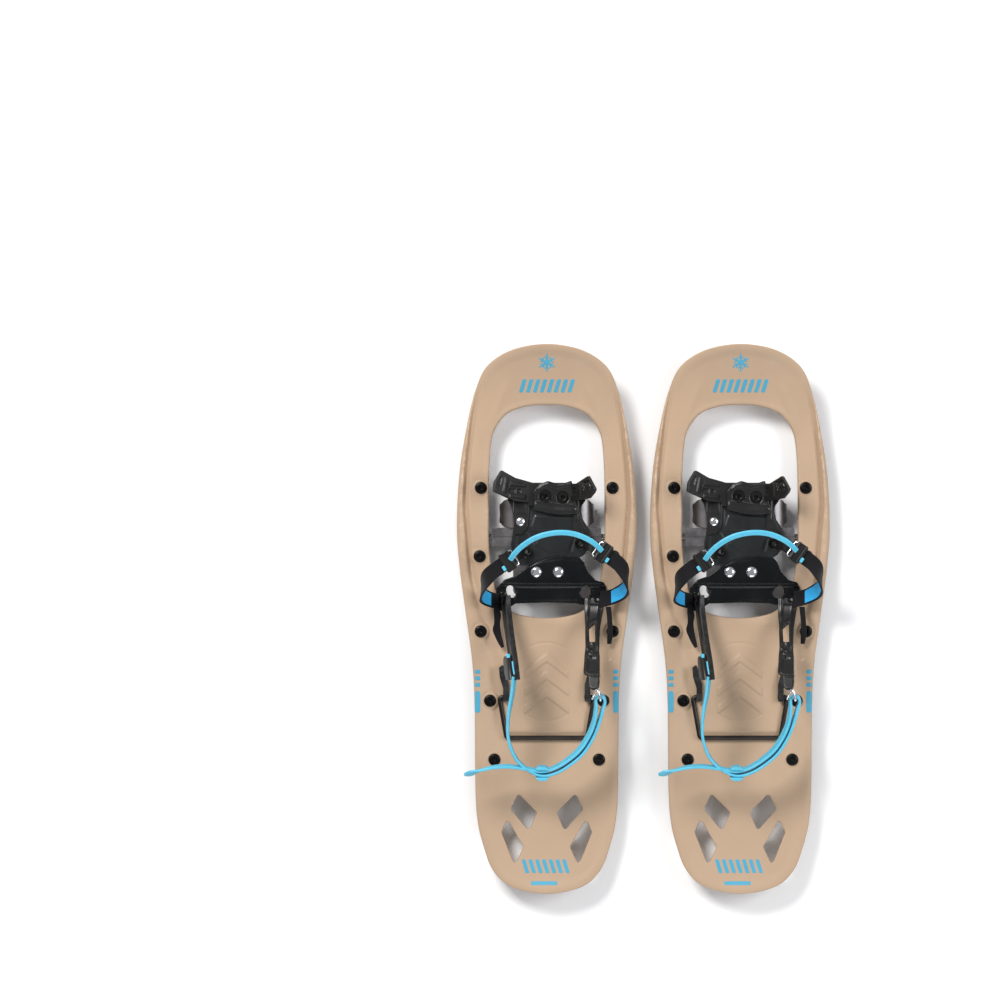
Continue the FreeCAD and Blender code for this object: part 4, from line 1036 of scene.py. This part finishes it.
DROOP = (Matrix.Translation((0, STRAP_ROOT_Y, STRAP_LOW_Z)) @ Matrix.Rotation(math.radians(STRAP_DROOP), 4, "X")
         @ Matrix.Translation((0, -STRAP_ROOT_Y, -STRAP_LOW_Z)))
path = np.array(RUN + RETURN, float)
widths = [STRAP_WIDTH] * (len(path) - 2) + [12.5, 2.5]
stations = []
for i, (x, y, lean) in enumerate(path):
    ahead = unit(direction(path[:, :2], i))
    lean = math.tan(math.radians(lean))
    across, outward = (ahead[1] * lean, -ahead[0] * lean, 1), (ahead[1], -ahead[0], 0)
    stations.append(((x, y, STRAP_MID), across, outward, widths[i]))
heel_strap = placed(sweep(stations, strap_section(2.9, rib=0.5, ribs=4), 6), DROOP)
piece("heel_strap_ribbed", heel_strap, blue_rubber, "binding", ["heel_strap"])

KEEPER_X, KEEPER_Y = -5.3, -172.0
KEEPER_HALF = STRAP_WIDTH / 2 + 1.6
KEEPER_BULGE = [(-7.6, 0), (-5.5, 2.4), (-3.0, 3.6), (3.0, 3.6), (5.5, 2.4), (7.6, 0)]
KEEPER_WALL = [(x, 4.5 + y * 0.95) for x, y in KEEPER_BULGE] + [(6.4, 4.0), (-6.4, 4.0)]


def keeper_side(side):
    """One bulging wall of the keeper, on one side of the doubled strap."""
    outline = outlined([(x, side * y) for x, y in KEEPER_WALL], 1.0, 0.9)
    return relief(outline, [], 1.3, KEEPER_HALF, -KEEPER_HALF, 0.9, under_fillet=0.9)


keeper = merged(keeper_side(1), keeper_side(-1), box_part(-5.5, 5.5, -5.6, 5.6, -9.2, -7.9, 1.0, 0.5))
keeper = placed(keeper, DROOP @ Matrix.Translation((KEEPER_X, KEEPER_Y, STRAP_MID)))
piece("strap_keeper_loop", keeper, blue_rubber, "binding", ["strap_keeper"])

LOOP_X, LOOP_Y, LOOP_LOW, LOOP_HIGH = 60.0, -88.5, STRAP_LOW_Z - 3.6, STRAP_LOW_Z + STRAP_WIDTH + 3
wire_loop = tube([(LOOP_X, LOOP_Y, LOOP_LOW), (LOOP_X, LOOP_Y, LOOP_HIGH), (LOOP_X - 3, LOOP_Y + 12.4, LOOP_HIGH),
                  (LOOP_X - 3, LOOP_Y + 12.4, LOOP_LOW)], 1.35, 3.2, 12, True)
hook = tube([(LOOP_X - 4.6, LOOP_Y + 13.4, STRAP_LOW_Z + 18.3), (LOOP_X - 7.5, LOOP_Y + 7, STRAP_LOW_Z + 18.3),
             (LOOP_X - 9.5, LOOP_Y + 1.5, STRAP_LOW_Z + 15.5)], 1.0, 2.0, 10)
piece("heel_buckle_wire", placed(merged(wire_loop, hook), DROOP), bright, "binding",
      ["heel_buckle"])


# ------------------------------------------------------------------ crampon
def upright(outline, y):
    """A steel plate standing across the shoe. outline is (x, z)."""
    v, faces = relief(even(outline, 1.6), [], 3.0, PLATE_THICK, 0, 0.4)
    return np.stack([v[:, 0], y + v[:, 2], v[:, 1]], axis=1), faces


def claws(centres, root, tip, half=30, top=PLATE_TOP - 0.6):
    outline = [(-half, top), (-half, root)]
    for c in centres:
        outline += [(c - 8, root), (c - 1, tip), (c + 1, tip), (c + 8, root)]
    return outline + [(half, root), (half, top)]


SIDE_CLAW_LENGTH, SIDE_CLAW_Y, SIDE_CLAW_HALF_THICK = 34.0, 119.2, 1.1
SIDE_CLAW_ROOT = -3
SIDE_CLAW = [(-17, SIDE_CLAW_ROOT), (17, SIDE_CLAW_ROOT), (16.6, 6), (14.8, 12), (11.5, 17), (11, 22), (8.2, 31),
             (6.8, 31), (4, 23.5), (0, 22), (-4, 23.5), (-6.8, 31), (-8.2, 31), (-11, 22), (-11.5, 17), (-14.8, 12),
             (-16.6, 6)]
BOW = [((x, SIDE_CLAW_Y, z), FORWARD, outward) for x, z, outward in (
    (34.5, 25.2, UP), (40.0, 24.8, (0.25, 0, 1)), (46.8, 21.6, (0.7, 0, 1)), (51.2, 15.6, (1, 0, 0.35)),
    (52.3, 9.0, (1, 0, 0.08)), (52.4, 4.2, (1, 0, 0)))]
side_claw, side_claw_faces = relief(outlined(SIDE_CLAW, 1.0, 1.1), [], 1.2, SIDE_CLAW_HALF_THICK,
                                    -SIDE_CLAW_HALF_THICK, 0.5, under_fillet=0.5)
side_claw = bent((side_claw - (0, SIDE_CLAW_ROOT, 0), side_claw_faces), BOW, SIDE_CLAW_LENGTH)
under = plate([(38, 150), (-38, 150), (-38, 27.5), (38, 27.5)], [], PLATE_TOP, PLATE_TOP - PLATE_THICK, spacing=4,
              radius=6, fillet=0.4)
crampon = merged(under, upright(claws((-20, 0, 20), 16, 2), 148.4), upright(claws((-20, 20), 17, 3), 30.1),
                 side_claw, mirrored(side_claw))
piece("toe_crampon_plate", crampon, steel, "binding", ["toe_crampon"], sharp=30)


# ------------------------------------------------------------------ the CAD nodes that stay
def dress(obj, material, bevel):
    """A CAD node keeps its shape and gets a finish, and rounded edges where it had none."""
    obj.data.materials.clear()
    obj.data.materials.append(material)
    if bevel:
        flat = obj.modifiers.new("flat", "DECIMATE")
        flat.decimate_type = "DISSOLVE"
        flat.angle_limit = math.radians(1.5)
        edges = obj.modifiers.new("edges", "BEVEL")
        edges.width = bevel * MM
        edges.segments = 2
        edges.limit_method = "ANGLE"
        edges.angle_limit = math.radians(35)
        edges.harden_normals = True


KEPT = (("traction_rails", steel, 0.3), ("pivot_axle", steel, 0), ("axle_clips", steel, 0),
        ("lifter_brackets", black_plastic, 0.6), ("lifter_bail", wire_black, 0), ("pivot_bracket", steel, 0.5))
for name, material, bevel in KEPT:
    for side, _ in SIDES:
        dress(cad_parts[f"{side}_{name}"], material, bevel)

# ------------------------------------------------------------------ floor, lights and camera
# the camera looks straight down; SEEN_WIDTH is what it takes in at the deck's height, in mm
VIEW_X, VIEW_Y = -161.8243, 134.351
CAMERA_HEIGHT, SEEN_WIDTH = 9000.0, 1129.0
SENSOR = 36
FLOOR_HALF = 6


def link_new(name, data):
    obj = bpy.data.objects.new(name, data)
    bpy.context.scene.collection.objects.link(obj)
    return obj


def floor():
    mesh = bpy.data.meshes.new("floor")
    corners = [(x * FLOOR_HALF, y * FLOOR_HALF, 0) for x, y in ((-1, -1), (1, -1), (1, 1), (-1, 1))]
    mesh.from_pydata(corners, [], [(0, 1, 2, 3)])
    n = Nodes("pale_floor")
    base = n.ramp(n.noise(3, 3), [(0.3, (0.86, 0.86, 0.865)), (0.7, (0.89, 0.89, 0.89))])
    mesh.materials.append(n.set(Base_Color=base, Roughness=0.75))
    link_new("floor", mesh)


def area_light(name, spot, size, power, colour):
    """A soft rectangular light that points at the origin."""
    lamp = bpy.data.lights.new(name, "AREA")
    lamp.shape = "RECTANGLE"
    lamp.size, lamp.size_y = size
    lamp.energy = power
    lamp.color = colour
    obj = link_new(name, lamp)
    obj.location = spot
    obj.rotation_mode = "QUATERNION"
    obj.rotation_quaternion = (-Vector(spot)).to_track_quat("-Z", "Y")


floor()
area_light("key", (-1.3, 1.6, 2.2), (1.1, 0.9), 92, (1.0, 0.985, 0.965))
area_light("fill", (1.9, 0.4, 1.9), (1.2, 1.2), 38, (0.97, 0.985, 1.0))
area_light("low", (0.2, -2.1, 1.3), (1.8, 0.8), 22, (1, 1, 1))
world = bpy.data.worlds.new("studio")
world.use_nodes = True
world.node_tree.nodes["Background"].inputs[0].default_value = (0.93, 0.95, 1.0, 1)
world.node_tree.nodes["Background"].inputs[1].default_value = 0.34
bpy.context.scene.world = world
bpy.context.scene.view_settings.view_transform = "Standard"

camera = bpy.data.cameras.new("camera")
camera.sensor_width = SENSOR
camera.lens = SENSOR * (CAMERA_HEIGHT - DECK_TOP) / SEEN_WIDTH
camera.clip_end = 100
camera_object = link_new("camera", camera)
camera_object.location = (VIEW_X * MM, VIEW_Y * MM, CAMERA_HEIGHT * MM)
bpy.context.scene.camera = camera_object
